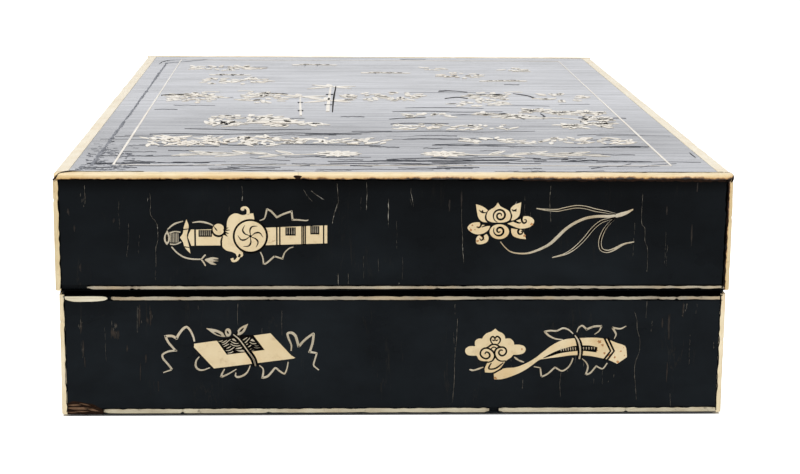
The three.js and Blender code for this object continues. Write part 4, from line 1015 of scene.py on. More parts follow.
# %% Lotus emblem
def lotus_emblem():
    """Petals are closed smooth curves; their curls are spirals cut in black."""
    art = Drawing()
    art.fill("plate", """48.5,103.4 48.5,103.4 49.8,101.6 51.6,100.6 53.8,99.2 54.6,97 53.9,94.9 51.4,93.9
        48,93.8 45.7,94 43.7,95 43.2,96.9 43.8,99 45.4,100.3 46.9,101.2""",
        circle((49.4, 89.4), 4.6, 36, squash=0.78), """38.1,102.6 38.1,102.6 41.2,101.6 43.7,99.8
            43.7,99.8 42.6,97.6 42.5,95.4 43.6,93.9 43.6,93.9 41.3,94.2 39.4,96 38.6,99.2; 59.5,103.5
            59.5,103.5 59.2,100.2 58.6,97 56.4,95.1 54.8,94.8 54.8,94.8 55.4,97 54.8,98.8 54.6,100.6
            56.3,102.3; 34.3,91.3 35.8,93.2 38.1,93.9 40.2,93.8 40.6,92.8 42.6,92.6 44.8,92.4 44.4,90.6
            42.7,89 40.6,88.2 38.2,88.2 35.7,89.4; 53.1,93.3 53.1,93.3 56.4,94.4 59.2,95.5 60,96.4
            61.8,96.9 64.2,96.4 65.8,94.7 65,92.6 62.8,91.3 59.2,90.9 55.9,92; 38.4,85.6 39,87.1 40.2,87.6
            41.2,86.8 43.3,88.2 44.4,86.4 43.6,84.4 41.2,83.4 38.8,83.6; 55,91 55,91 57.4,90.6 59.6,90.4
            61,88.8 62.1,85.8 62.1,85.8 59.2,86.1 56.2,87.2 55.1,89""")
    art.line("ink", (0.25, 0.7, 0.7, 0.6, 0.3), spiral((49.6, 97.2), 3.5, 1.75, 250, -1),
             spiral((49.4, 89.9), 2.9, 1.5, 150))
    art.line("ink", (0.2, 0.6, 0.25), """39.6,99.9 40.6,99 41.8,98.6 43.2,98.6; 41.2,99.9 41.4,98.8;
        55,100.2 56,99.5 57.4,100.4; 56.2,99.6 57.4,99.4""")
    art.line("ink", (0.8, 0.6, 0.3), """40.6,94.2 40.7,92.6 39.7,91.4 38.5,91.8; 45,92.8 43,92.4 41,91.6;
        60,96.8 59.9,94.8 60.8,93.6 61.9,94 61.9,95.1 61,95.2; 56.2,94.6 58.4,93.7 59.6,93.8; 40.5,88
        41.7,87 41.7,85.8 40.8,85.3 40.2,86; 58.8,90.9 58.2,89.4 58.9,88.3 60.1,88.5 60.3,89.4 59.6,89.7""")
    art.fill("stain", *blobs("""35.3,91.4 36.6,92.4 37.8,90.4 35.9,90.3 39.2,91.8 40.2,86.2 39.3,84.8
        42.4,85.6 41.4,87 43.6,99.4 64.6,93.2 61.2,87.4""", 0.55, 3))
    art.line("ribbon", (0.45, 0.6, 0.8, 1.15, 1.7, 1.5, 1.4, 1.5, 2.2, 0.7), """50,84.6 52,82.1 54.8,79.8
        58.7,78.9 63.1,79 67.6,80.4 73.1,83.2 77,86.8 80.9,90.7 85.3,93.7 90.3,95.9 95.9,96.8 102.6,96.8
        105.9,97.4 109.8,98.7 112.6,100.2""")
    veins = paths("""66.7,100.6 70.9,100 76.4,99.7 80.3,100.5 85.3,101.4 89.8,101.1 94.8,99.8 99.8,98.9
        104.4,97.9; 104,96.2 100.4,95.2 97.4,94.1 93.7,90.9 89.8,85.9 85.3,81.4 80.9,78.6 74.8,76.9;
        104.4,96.4 100.3,92.1 98.1,87.9 97.3,84 98.1,80.9 100.9,79.9 104.2,80.9 108.7,83.4 113.6,84.5""")
    art.line("ribbon", (0.5, 1.5, 1.8, 1.8, 0.9), veins[0])
    art.line("ribbon", (0.9, 1.7, 1.8, 1.6, 0.5), *veins[1:])
    art.line("ink", (0.15, 0.5, 0.6, 0.55, 0.4), veins[0][1:])
    art.line("ink", (0.5, 0.6, 0.7, 0.6, 0.1), veins[1][:-1], veins[2][:-2])
    return art


lotus_emblem().lay("lotus", FACES["lid_front"], (-0.25, 0),
                   ("lid_front_lotus_flower", "lid_front_lotus_stem"))
print("lotus laid, pieces", len(made_pieces))

# %% [markdown]
# A wrapped book lies on its side, tied with a band. Its cover is black with a pattern of waves,
# and ribbons fly out on both sides.

# %% Book emblem
WAVES = """-84,35.9 -83,35.9 -82,36.4; -82.5,35.2 -81.5,35.5 -80,36.5; -82.2,34.2 -80.7,34.8 -79.5,35.9
    -78.2,36.9; -81.5,33.3 -80.2,33.9 -79,34.6; -80.2,32.4 -79.2,32.8 -78,33.6; -80.5,31.4 -79,31.4
    -77.5,32.3 -76.5,33; -79.7,30.1 -78.2,30.3 -77,31; -78.2,36 -77,35.2 -75.8,34.8 -74.5,34.9; -78.3,34.7
    -77,33.9 -75.3,33.6 -73.7,33.9; -72.5,36.4 -71.5,37 -70.3,37.8; -72.2,35.2 -71.2,35.3 -70.2,36.3
    -69,37.7; -71,34.1 -70,34.7; -70.3,32.9 -69.2,33.5 -68.5,34.1; -69.2,35.5 -68,34.8 -67,34.7 -66,34.8"""
FAINT_WAVES = """-66.8,33.8 -66,33.6 -65,33.7; -67.2,32.8 -65.8,32.6 -64.3,32.8; -69.2,31.9 -68.2,32.3;
    -68.2,31.3 -67,31.6"""
FLASHES = """-77.7,37 -76.5,37.2 -75.5,35.9 -76.8,36.2; -76,32.3 -74.5,32.8 -73.2,33.1 -73,32.5
    -74.5,32.1; -76,31.7 -74.2,31.5 -72.5,31.7 -71.5,30.9 -73.8,30.8; -68.8,36.2 -68,37.1 -66.7,35.8
    -68,35.9"""


def book_emblem():
    """The sheet and its cover are straight-sided; everything that is cloth is a smooth ribbon."""
    art = Drawing()
    art.fill("plate", "-95.7,33 -95.5,34.7 -59.3,39.8 -49.4,28.8 -47.6,27.7 -48.2,27.3 -86.3,22.5",
             smooth=False)
    cover = "-84.9,36.4 -80.1,29.3 -62.1,31.6 -67.4,38.9 -75.8,38.9 -79.4,37.7"
    art.fill("ink", cover, smooth=False)
    art.line("fine", (0.3, 0.56, 0.35), WAVES, flats=4)
    art.line("fine", (0.12, 0.22, 0.12), FAINT_WAVES, flats=4)
    art.fill("fine", FLASHES)
    band = paths("-76.9,39.3 -74,36.7 -70.1,31.1 -67.6,27.4 -66.4,23.7")[0]
    art.line("mark", (1.0, 1.7, 1.9, 1.8), band)
    art.layers["fine"].append(stroke(band, (0.5, 0.65, 0.6, 0.75, 0.65), RAISED))
    art.layers["mark"].append(stroke(band[2:], (0.1, 0.3, 0.3), RAISED_CUT))
    art.fill("ribbon", leaf((-79.9, 38.1), (-89.7, 42.3), 2.6, fullness=0.45),
             circle((-79.4, 40.2), 1.5, 20, squash=1.35),
             leaf((-75.3, 38.8), (-69.9, 44.4), 2.9, fullness=0.4))
    art.line("ink", (0.4, 0.5, 0.3), "-81.7,41.2 -81.2,39.7 -80.2,37.8; -77,37.8 -75.3,39.4 -75,40.9")
    art.line("ink", (0.2, 0.6, 0.3), "-85.9,40.4 -82.6,38.8; -79.9,41 -79.2,39.6; -74,40.3 -72,42.4")
    art.line("ribbon", (0.9, 1.3, 1.4, 1.2, 1.0, 1.1, 0.5), """-95.4,35.8 -96,38.4 -97.4,41.4 -99,42.9
        -100.8,41.9 -102.8,39.3 -103.8,37.4 -103.9,37.4 -106,38.5 -108.9,38.4 -109,38.2 -107.6,35.2
        -104.5,31.5 -104.5,31.4 -107.9,30.9 -110.5,29.4 -110.3,27.4 -107.9,24.4 -106.3,22.1 -106.4,21.9
        -108.2,21.3 -110.4,20.5""")
    art.line("ribbon", (0.6, 1.1, 1.0, 0.5), """-93.2,28.3 -94.7,26.2 -94.9,23.6 -93.6,22 -91.4,21.7
        -88.2,22.9; -81.2,22.2 -82.2,20.4 -82.9,18.4 -82.7,18.3 -79.4,19.8 -75.6,22.1; -75.9,20.4 -76,18.7
        -74.6,18.2 -72,19.2 -70.2,21 -69,23.9""")
    art.line("ribbon", (0.5, 1.0, 1.2, 1.0, 0.9, 0.6), """-64.7,24 -63,22.4 -62.8,20.4 -63.2,18 -63,17.8
        -60.7,18.6 -58.6,20.9 -57,22.6 -55,21.1 -53.2,19.9 -52.4,20.1 -51.5,22.4 -50.9,25.7""")
    art.line("ribbon", (0.7, 1.2, 1.5, 1.3, 1.2, 1.3, 1.0, 0.8, 0.7), """-49.5,31.1 -49.4,33.9 -50.6,37
        -51.2,39.2 -50.6,39.9 -49,39.9 -47.4,38.4 -46.5,35.6 -45.9,33.3 -45.7,33.3 -44,35.4 -41.8,37.5
        -39.2,39.3 -38.8,39 -39.3,34.9 -40.6,30.7 -40.5,30.5 -37.5,30 -37.4,29.6 -38.1,27 -38.8,24.2
        -38,23 -36.3,21.6""")
    return art


book_emblem().lay("book", FACES["base_front"], (0.25, 0), ("base_front_scroll",))
print("book laid, pieces", len(made_pieces))

# %% [markdown]
# The last front emblem is a sceptre with a cloud-shaped head, its handle bent like a bow.
# Stains have darkened both ends of the handle, and are drawn as thin flecks of browned bone.

# %% Sceptre emblem
def sceptre_emblem():
    """Head and handle are closed curves; the volutes are measured; the slot has light ticks."""
    art = Drawing()
    art.fill("plate", """48.5,41.9 48.5,41.9 46.6,40.4 44.4,39.6 42.9,38.1 42.3,36.9 42.3,36.9 40.5,36.9
        39,35.8 38.8,34 38.9,33.2 36.4,33.2 34.5,32 34.3,30.2 35.6,28.8 38.2,28.5 39.8,28.4 40.8,26.6
        42.8,25.8 45.2,25.8 45.2,25.8 44.6,24.2 43.8,22.2 43.9,20.2 43.9,20.2 47.6,20.2 51,22 53.4,25.4
        53.4,25.4 54.4,26.3 56.3,27.6 57.4,28.9 57.4,28.9 60,29 62.4,29.8 63.3,31.6 62.4,33.2 60.2,33.9
        57.7,33.9 57.7,33.9 57.4,35.4 55.8,36.9 53.4,36.9 53.4,36.9 52.9,38.6 51.6,39.8 50,40.5; 48.1,19.8
        48.1,19.8 50.3,21.4 54.2,22.3 58.7,22.7 63.1,24.4 67.6,27 72,30.6 76.4,33.9 80.9,36.1 85.3,36.9
        90.9,37.2 96.4,37.3 101.4,36.8 103.7,36.1 107,34.7 110.9,33.3 111.9,31.1 112.2,27.6 112.2,27.6
        107.6,24.3 107.6,24.3 103.7,26.1 100.9,26.9 95.3,28.1 90.3,28.6 85.3,28.6 79.8,27.8 72.6,26.9
        69.8,26.2 66.4,23.6 62,20.6 56.4,18.1 52,16.8 48.5,16.7 48.5,16.7""")
    art.line("ink", (0.45, 0.66, 0.62, 0.62, 0.66, 0.62, 0.4), """43.7,29.3 44.3,30.3 45.5,29.9 46.1,28.7
        45.6,27.6 44.3,27 42.6,27.7 41.6,29 41.7,30.6 42.8,31.9 44.6,32.3 46.4,31.6 47.7,30.4 48.4,28.9
        48.2,27.3 47.2,25.9 45.6,25.3 44.2,25.1; 52.3,31.1 51.2,31.3 50.4,30.3 50.7,29.2 51.9,28.5 53.2,29
        54,30.3 53.7,31.8 52.5,32.7 51.1,32.7 49.9,32.4 48.9,31.5 48.4,30.3 48.5,28.9 49.2,27.4 50.3,26.3
        51.7,25.8 53.9,25.9""")
    art.line("ink", (0.4, 0.62, 0.55, 0.62, 0.4), """43.9,32.2 45.5,33 46.7,33.9 48.3,34.1 49.5,33.8
        50.5,33.1 51.5,32.8; 47.5,34.2 46.7,35.2 46.3,36.6 46.8,37.7 47.7,37.9 48.4,37.1 49.2,38 50.2,37.7
        51,36.5 50.6,35.1 49.8,34.2; 46.9,24.9 46.1,23.6 45.7,22.4 46.1,21.9 47.7,21.9 49.5,22.5 51.2,23.8
        52.7,25.1; 47.8,19.6 49.1,20.4 50.8,21.4 52.2,22""")
    art.line("ink", (0.3, 0.5, 0.3), """46.5,31.8 47.4,32.6 48.4,32.7 49.5,32; 47.1,36.4 47.7,36 48.4,36.4
        48.4,37.1; 48.4,36.4 49.2,36 50,36.5""")
    art.fill("ink", """71.6,27.2 76,29.8 79.8,31.4 84,32.7 87.6,33.4 93.7,33.5 97.9,32.6 97.9,32.6 97.4,30
        97.4,30 90.3,30.8 84.2,30.3 79.2,29.4 75,28""")
    ticks = [((u, 31.9 - 0.02 * (90 - u) ** 1.5 - 0.6), (u - 0.2, 32.7 - 0.018 * (90 - u) ** 1.5))
             for u in np.arange(80.4, 88, 1.15)]
    ticks += [((u, 31.5), (u - 0.1, 32.7)) for u in np.arange(91.2, 97.2, 1.3)]
    art.line("fine", (0.35, 0.5), *ticks, flats=1)
    art.fill("stain", *blobs("""98.6,35.4 100.2,33.6 97.4,31.4 103.6,28.8 106.4,27.6 109.2,30.6 111,28.4
        107.8,25.4 110.4,32.4 101.4,29.6 61.4,31.6 48.9,17.4""", 0.72, 4))
    band = paths("86.8,38.5 88.4,36 89.3,33 89.6,30 89.2,26.8")[0]
    art.line("mark", (1.0, 1.8, 1.8, 1.4), band)
    art.layers["fine"].append(stroke(band, (0.6, 0.9, 0.9, 0.8, 1.0), RAISED))
    bend = paths("101,37.2 101,37.2 104.2,30.7 104.2,30.7 101,26.2")[0]
    art.line("ink", (0.7, 0.7), bend, bend + (1.7, 0), flats=2)
    art.line("ribbon", (0.5, 1.1, 0.7, 1.0, 0.5), """57.8,27.8 60,26.2 62.6,25.2; 36.4,21.6 38.7,21.3
        43.1,22.8""")
    art.line("ribbon", (0.6, 0.9, 0.9, 1.1, 1.0, 0.6), """85.9,39.3 83.7,41.2 81,42 78,40.7 75,40.8
        72.6,40.4 72.5,40.1 74.2,38.4 77.4,36.8 81,36.3""")
    art.line("ribbon", (0.4, 1.0, 1.1, 1.0, 0.4), """87.7,40 88.4,42 90.2,43.2 92.3,41.5 92.5,41.5
        95.9,42.8 99.4,43 99.4,42.8 98.4,40.6 96.2,38.9; 105.8,36.7 106.6,38.8 105.8,40.6 104.8,42.1
        105,42.2 108.6,41.7 111.4,43""")
    art.line("ribbon", (0.5, 0.9, 0.9, 0.8, 0.7), """67.4,23 70.4,22.4 70.6,22.1 70.9,19.6 71.2,18.1
        71.4,18 74.2,19.4 77.4,22.4 78,22.4 80.9,20.8 83.5,22.1 85.3,24.6 86.2,27.2; 90.6,26.9 92.6,25
        93.5,22.6 92.6,19.1 92.8,19 94.8,19.8 97.4,23 98,22.9 100.7,21.9 102.8,24.7""")
    return art


sceptre_emblem().lay("sceptre", FACES["base_front"], (-0.25, 0),
                     ("base_front_ruyi_head", "base_front_ruyi_handle"))
print("sceptre laid, pieces", len(made_pieces))

# %% [markdown]
# The photograph does not show the back and the long sides, so they carry further emblems of the
# same set: a gourd, a fan, a pair of coins, interlocked lozenges, an artemisia leaf and a stone
# chime. They follow the outlines of the plain solids, with the same ribbons and engraved lines.

# %% Gourd and fan
FLUTTER = paths("""0,0 -2,3 -4,4.2 -6,2 -7.6,0.4 -9.6,1.4 -12,1 -10.4,-2 -8,-5 -11,-6 -12.6,-8 -10.6,-11.4
    -12.6,-13.4""")[0]


def ribbons(art, left, right):
    """Two fluttering ends, one a mirror image of the other, that start at left and right."""
    art.line("ribbon", (0.9, 1.2, 1.2, 1.0, 0.5), FLUTTER + left, FLUTTER * (-1, 1) + right)
    short = paths("0,0 -2.4,-2.6 -1.6,-6 1.6,-6.4 4,-4.4")[0] * 0.8
    art.line("ribbon", (0.6, 1.0, 0.5), short + left - (-6, 7), short * (-1, 1) + right - (6, 7))
    return art


def gourd_emblem():
    """Two discs and a bent neck; engraved arcs follow the edge of each disc."""
    art = ribbons(Drawing(), (-16, 4), (22, 4))
    art.fill("plate", circle((12, 0), 9), circle((-2, 0), 6, 32))
    art.line("plate", (3.6, 1.6, 2.6), "-6,0 -14,0.4 -21,2.2")
    art.line("ink", (0.3, 0.8, 0.3), arc((12, 0), 6.6, 40, 265), arc((-2, 0), 3.8, 30, 260),
             arc((3.6, 0), 4.6, -55, 55))
    art.line("ink", (0.2, 0.6, 0.2), spiral((13, 0), 4.2, 1.4, 200))
    art.line("ribbon", (0.8, 0.8), "3.6,4.6 4.6,8 8,9.8; 3.6,-4.6 2,-8 5,-10.6")
    return art


def fan_emblem():
    """A leaf-shaped fan with ribs that spread from its handle, and a hanging cord."""
    art = ribbons(Drawing(), (-27, 6), (34, 4))
    art.fill("plate", "-29,0 -24,-5 -14,-9.8 -3,-9 3,-4.5 5,0 3,4.5 -3,9 -14,9.8 -24,5")
    art.line("plate", (2.4, 1.8), "3,0 20,0 32,0")
    ribs = [[(4, 0), (-6, v * 0.55), (-20 + abs(v), v)] for v in (-7.4, -5, -2.6, 0, 2.6, 5, 7.4)]
    art.line("ink", (0.25, 0.55, 0.2), *ribs)
    art.line("ink", (0.5, 0.5), "1.6,-4.6 2.6,0 1.6,4.6; 6,-1.4 6,1.4; 7.4,-1.4 7.4,1.4")
    art.line("ribbon", (0.7, 0.8, 0.6), "32,0 35,-3 33.4,-7 36.4,-10")
    return art


print("points of a fluttering ribbon", len(FLUTTER))

# %% [markdown]
# Coins and lozenges overlap in pairs. The leaf and the chime are laid on both long sides.

# %% Four more emblems
def coins_emblem():
    """Two linked coins: discs, an engraved ring inside each rim and a square hole."""
    art = ribbons(Drawing(), (-16, 3), (16, 3))
    art.fill("plate", circle((-7.5, 0), 9), circle((7.5, 0), 9))
    art.line("ink", (0.5, 0.5), [*circle((-7.5, 0), 7), (-0.5, 0)], [*circle((7.5, 0), 7), (14.5, 0)],
             arc((-7.5, 0), 9, -60, 60))
    hole = np.array(oblong(-2.6, -2.6, 2.6, 2.6)) @ turned(np.eye(2), math.pi / 4)
    art.fill("ink", hole + (-7.5, 0), hole + (7.5, 0), smooth=False)
    return art


def lozenges_emblem():
    """Two overlapping lozenges, each with a smaller one engraved inside it."""
    art = ribbons(Drawing(), (-21, 4), (21, 4))
    shape = paths("15,0 0,9.5 -15,0 0,-9.5")[0]
    art.fill("plate", shape + (-8, 0), shape + (8, 0), smooth=False)
    for u in (-8, 8):
        inner = shape * 0.6 + (u, 0)
        art.line("ink", (0.7, 0.7), np.repeat(np.vstack([inner, inner[:1]]), 2, axis=0), flats=2)
    art.line("ink", (0.5, 0.5), "0.4,5.4 8.4,0.4 0.4,-4.8")
    return art


def leaf_emblem():
    """A long leaf with three pairs of lobes and engraved veins."""
    art = ribbons(Drawing(), (-24, 5), (24, 5))
    art.fill("plate", leaf((-23, 0), (23, 0), 9, 12))
    for root in (-16.1, -4.6, 6.9):
        art.fill("plate", *(leaf((root, 0), (root + 9, reach), 4.5) for reach in (9, -9)))
        art.line("ink", (0.5, 0.15), *([(root + 1, 0), (root + 6, reach)] for reach in (6, -6)), flats=1)
    art.line("ink", (0.3, 0.6, 0.2), "-20,0 0,0.3 19,0")
    return art


def chime_emblem():
    """A hanging stone bent like a bow, with an engraved border and a suspension ring."""
    art = ribbons(Drawing(), (-21, -1), (21, -1))
    art.fill("plate", "-22,-3 -18,-8.5 0,2.5 18,-8.5 22,-3 3,9 -3,9", smooth=False)
    inner = paths("-18.8,-3 -17.4,-5.6 0,5 17.4,-5.6 18.8,-3 2.2,7.4 -2.2,7.4 -18.8,-3")[0]
    art.line("ink", (0.5, 0.5), np.repeat(inner, 2, axis=0), flats=2)
    art.line("ribbon", (0.9, 0.9), "0,9 -1.6,10.6 0,12.2 1.6,10.6 0,9")
    return art


print("points round a coin", len(circle((0, 0), 9)))

# %% [markdown]
# Each emblem is laid at its height on its wall. The long sides repeat the four emblems of the
# front, moved along the wall, so every side shows the same hand.

# %% Emblems of the other walls
HIGH, LOW = 89.1, 28.2  # middle heights of the emblems on the lid and on the base
gourd_emblem().lay("gourd", FACES["lid_back"], (-72.5, HIGH), ("lid_back_gourd",))
fan_emblem().lay("fan", FACES["lid_back"], (72.5, HIGH), ("lid_back_fan",))
coins_emblem().lay("coins", FACES["base_back"], (-72.5, LOW), ("base_back_coins",))
lozenges_emblem().lay("lozenges", FACES["base_back"], (72.5, LOW), ("base_back_lozenges",))
for side, turn in (("left", 1), ("right", -1)):
    leaf_emblem().lay(f"{side}_leaf", FACES[f"lid_{side}"], (0, HIGH), (f"lid_{side}_leaf",))
    chime_emblem().lay(f"{side}_chime", FACES[f"base_{side}"], (0, LOW), (f"base_{side}_chime",))
    for name, drawing, body, home, place in (
            ("flute", flute_emblem, "lid", -70.4, -150), ("flute_boss", boss, "lid", -70.4, -150),
            ("lotus", lotus_emblem, "lid", 73.6, 150), ("book", book_emblem, "base", -73.6, -150),
            ("sceptre", sceptre_emblem, "base", 73.0, 150)):
        drawing().lay(f"{side}_{name}", FACES[f"{body}_{side}"], (turn * place - home, 0))
print("other walls done, pieces", len(made_pieces))

# %% [markdown]
# The top is a garden seen as on a screen: two sprays of blossom in front, grasses and rocks
# behind them, then bamboo, a pine, cranes and clouds, all inside a fine bone rectangle. At the
# camera's low angle it reads as bands of warm flecks. Each motif is small and is drawn once as a
# function of its own centre, so it can be set wherever the garden needs it.

# %% Flowers and leaves
def blossom(centre, radius, petals, swell, squash=1.0):
    """A disc whose radius follows a cosine with one wave for each petal."""
    angle = np.linspace(0, 2 * np.pi, 6 * petals, endpoint=False)
    reach = radius * (1 - swell + swell * np.cos(petals * angle))
    return np.array(centre) + np.stack([reach * np.cos(angle), squash * reach * np.sin(angle)], axis=1)


def spray(art, centre, mirror):
    """A twelve-petalled flower with a leafy stem that runs away from it."""
    def put(points):
        """Shares of the spray's width and depth as places in millimetres."""
        return np.array(points) * (98 * mirror, 76) + centre
    flower = np.array(centre) + (33.3 * mirror, 0)
    for angle in np.radians(np.arange(0, 360, 30)):
        root, tip = (flower + turned([(reach, 0)], angle)[0] * (1, 0.8) for reach in (2.2, 12))
        art.fill("plate", leaf(root, tip, 3.6, 6))
    art.fill("light", blossom(flower, 2.0, 5, 0.2))
    art.line("plate", (1.8, 1.4, 0.8), put([(0.3, 0), (0.05, -0.05), (-0.2, 0.02), (-0.46, -0.03)]))
    for u0, v0, u1, v1 in ((0.12, -0.04, 0.02, 0.13), (0.06, -0.04, -0.06, -0.15),
                           (-0.08, -0.02, -0.2, 0.12), (-0.12, 0, -0.28, -0.12),
                           (-0.28, 0, -0.42, 0.1), (-0.34, -0.01, -0.5, -0.09),
                           (0.0, -0.03, -0.1, 0.06), (-0.2, 0.01, -0.34, 0.05),
                           (-0.22, 0, -0.36, -0.06)):
        root, tip = put([(u0, v0), (u1, v1)])
        art.fill("plate", leaf(root, tip, 4.2, 6))
        art.line("ink", (0.5, 0.1), [root + (tip - root) * 0.15, root + (tip - root) * 0.85], flats=1)


def grasses(art, left, right, low, high, count, seed):
    """Short blades and small stones, scattered with a seed over a long band."""
    rng = np.random.default_rng(seed)
    for u, v, lean, tall in scatter(rng, count, (left, right), (low, high), (-9, 9), (0.4, 1)):
        reach = (high - low) * 0.4 * tall
        blade = leaf((u, v - reach / 2), (u + lean, v + reach / 2), 2.6, 4)
        art.fill("plate" if tall > 0.6 else "ribbon", blade)
    for u, v, size in scatter(rng, count // 3, (left, right), (low, high), (1.6, 3.4)):
        art.fill("light", blossom((u, v), size, 5, 0.16, 0.7))


def bush(art, centre, wide, deep, count, seed):
    """Small leaves in a seeded cloud, each pointing away from the middle."""
    rng = np.random.default_rng(seed)
    angles, shares = rng.uniform(0, 2 * np.pi, count), rng.uniform(0.05, 1, count) ** 0.6
    for angle, share, length in zip(angles, shares, rng.uniform(4, 8.5, count)):
        way = np.array([math.cos(angle), math.sin(angle)])
        root = np.array(centre) + way * share * (wide, deep) / 2
        tip = root + turned([way * length], rng.uniform(-0.7, 0.7))[0]
        art.fill("plate" if share > 0.5 else "light", leaf(root, tip, 3.3, 4))


print("points of a small blossom", len(blossom((0, 0), 2, 5, 0.2)))

# %% [markdown]
# A garden rock is pitted, bamboo is jointed with leaves in fans, and a pine carries its needles
# in flat clouds. These signs tell them apart at a glance.

# %% Rock, bamboo and pine
def rock(art, centre, size, shares):
    """A pitted garden rock: one lobed outline, with arcs for its hollows."""
    at = np.array(centre)
    art.fill("plate", at + shares * size)
    for u, v, reach in ((-0.22, -0.14, 0.16), (0.1, -0.2, 0.2), (0.02, 0.08, 0.13), (-0.1, 0.2, 0.08),
                        (0.22, -0.02, 0.1)):
        hollow = circle(at + np.array((u, v)) * size, reach * size, 24, 0.7)
        art.line("ink", (0.3, 0.7, 0.3), hollow[3:17])


def bamboo(art, path, width, leaf_at):
    """A jointed cane: the strip, black rings across it, and fans of leaves."""
    art.line("plate", (width, width * 0.8, width * 0.5), path)
    stem = curve(path, 6)[3::5]
    art.line("ink", (0.9, 0.9), *([p - (width, 0.2), p + (width, 0.2)] for p in stem), flats=1)
    for u, v in leaf_at:
        for du, dv in ((-15, -11), (-12, 9), (-2, 13), (13, -8), (16, 3)):
            art.fill("plate", leaf((u, v), (u + du, v + dv), 4.2, 6))


def pine_tuft(art, centre, radius):
    """A cloud of needles: a lobed disc, engraved from its foot like a fan."""
    u, v = centre
    art.fill("light", blossom(centre, radius, 7, 0.1, 0.8))
    wide, tall, foot = radius * 0.82, radius * 1.1, v - radius * 0.5
    needles = [[(u, foot), (u + wide * math.cos(a), foot + tall * math.sin(a))]
               for a in np.radians(np.arange(20, 161, 20))]
    art.line("mark", (0.4, 0.8, 0.2), *needles, flats=1)


print("motifs of the near garden ready")

# %% [markdown]
# The far garden holds standing cranes and drifting clouds, made of leaves, discs and strips in
# shares of their own size.

# %% Cranes and clouds
def crane(art, centre, size, mirror=1):
    """A standing crane: body, wing lines, neck, bill and legs."""
    def put(*points):
        """Shares of the crane's size as places in millimetres."""
        return np.array(points) * size * (mirror, 1) + centre
    art.fill("plate", leaf(*put((-0.5, 0.05), (0.4, -0.05)), size * 0.42, 8, 0.6),
             leaf(*put((-0.7, -0.1), (-0.1, 0.1)), size * 0.2, 6))
    art.line("plate", (size * 0.1, size * 0.06, size * 0.09),
             put((0.3, 0), (0.5, 0.24), (0.38, 0.5), (0.56, 0.66), (0.86, 0.62)))
    art.line("plate", (size * 0.05, size * 0.04), put((0, -0.15), (0.04, -0.7)),
             put((0.12, -0.15), (0.3, -0.42), (0.14, -0.7)))
    art.line("ink", (0.3, 1.0, 0.2), put((-0.4, 0.04), (-0.1, 0.1), (0.2, 0.02)),
             put((-0.44, -0.02), (-0.14, 0), (0.16, -0.06)))
    art.fill("ink", leaf(*put((-0.72, -0.12), (-0.4, 0)), size * 0.12, 5))


def cloud(art, centre, length, mirror=1):
    """A drifting cloud: lobes along a flat foot, a volute in each end."""
    u, v = centre
    for du, dv, reach in ((-0.36, 0, 0.1), (-0.18, 0.05, 0.14), (0.04, 0.03, 0.13), (0.24, 0, 0.11),
                          (0.4, -0.03, 0.07)):
        middle = (u + mirror * du * length, v + dv * length)
        art.fill("plate", circle(middle, reach * length, 24, 0.72))
    for du, dv, reach in ((-0.18, 0.04, 0.09), (0.06, 0.02, 0.08), (0.26, 0, 0.06)):
        middle = (u + mirror * du * length, v + dv * length)
        art.line("ink", (0.4, 1.0, 0.3), spiral(middle, reach * length, 1.3, 200, mirror))


print("motifs of the far garden ready")

# %% [markdown]
# Now the garden is planted. Places are in millimetres from the middle of the top. Pieces that
# stand for a plain solid share its place; the rest fill the bands where the photograph shows
# pale flecks.

# %% Garden of the top
GARDEN = FACES["lid_top"]
sprays = Drawing()
for mirror in (-1, 1):
    spray(sprays, (-60 * mirror, -190), mirror)
sprays.lay("garden_sprays", GARDEN, worn=True, replaces=("lid_top_left_spray", "lid_top_right_spray"))

band = Drawing()
grasses(band, -125, -60, -164, -133, 84, 1)
grasses(band, -60, -4, -158, -138, 44, 7)
grasses(band, 38, 130, -156, -136, 46, 2)
grasses(band, 4, 70, -110, -88, 34, 3)
grasses(band, -100, -76, -96, -60, 18, 8)
band.lay("garden_grasses", GARDEN, worn=True)

ROCK = paths("""-0.5,-0.34 -0.5,-0.34 0.48,-0.36 0.48,-0.36 0.42,-0.2 0.3,-0.12 0.36,0.02 0.24,0.08
    0.2,0.24 0.06,0.28 0,0.4 -0.14,0.36 -0.16,0.2 -0.3,0.16 -0.26,0 -0.42,-0.08 -0.38,-0.24""")[0]
rocks = Drawing()
rock(rocks, (-60, -74), 34, ROCK)
rock(rocks, (-86, -84), 22, ROCK * (-1, 0.8))
rock(rocks, (80, -58), 26, ROCK * (-1, 0.8))
bush(rocks, (-50, -88), 26, 14, 26, 31)
bush(rocks, (-74, -62), 30, 12, 22, 32)
rocks.lay("garden_rocks", GARDEN, worn=True, replaces=("lid_top_rock",))

print("near garden laid, pieces", len(made_pieces))

# %% [markdown]
# Behind the rocks two canes stand at the left and a bent pine at the right. Further back leaves
# are only masses, because a low eye sees that part as flecks.

# %% Bamboo, pine and the far garden
canes = Drawing()
bamboo(canes, [(-46.6, -55), (-47.4, -14), (-48, 28)], 1.5, [(-48, 27)])
bamboo(canes, [(-31.4, -38), (-30.4, 18), (-29, 76)], 2.2, [(-29, 75), (-30.6, 10)])
canes.line("ink", (0.4, 0.7, 0.4), "-28.6,-40 -27.6,18 -25.8,77")
canes.lay("garden_bamboo", GARDEN, worn=True, replaces=("lid_top_bamboo",))

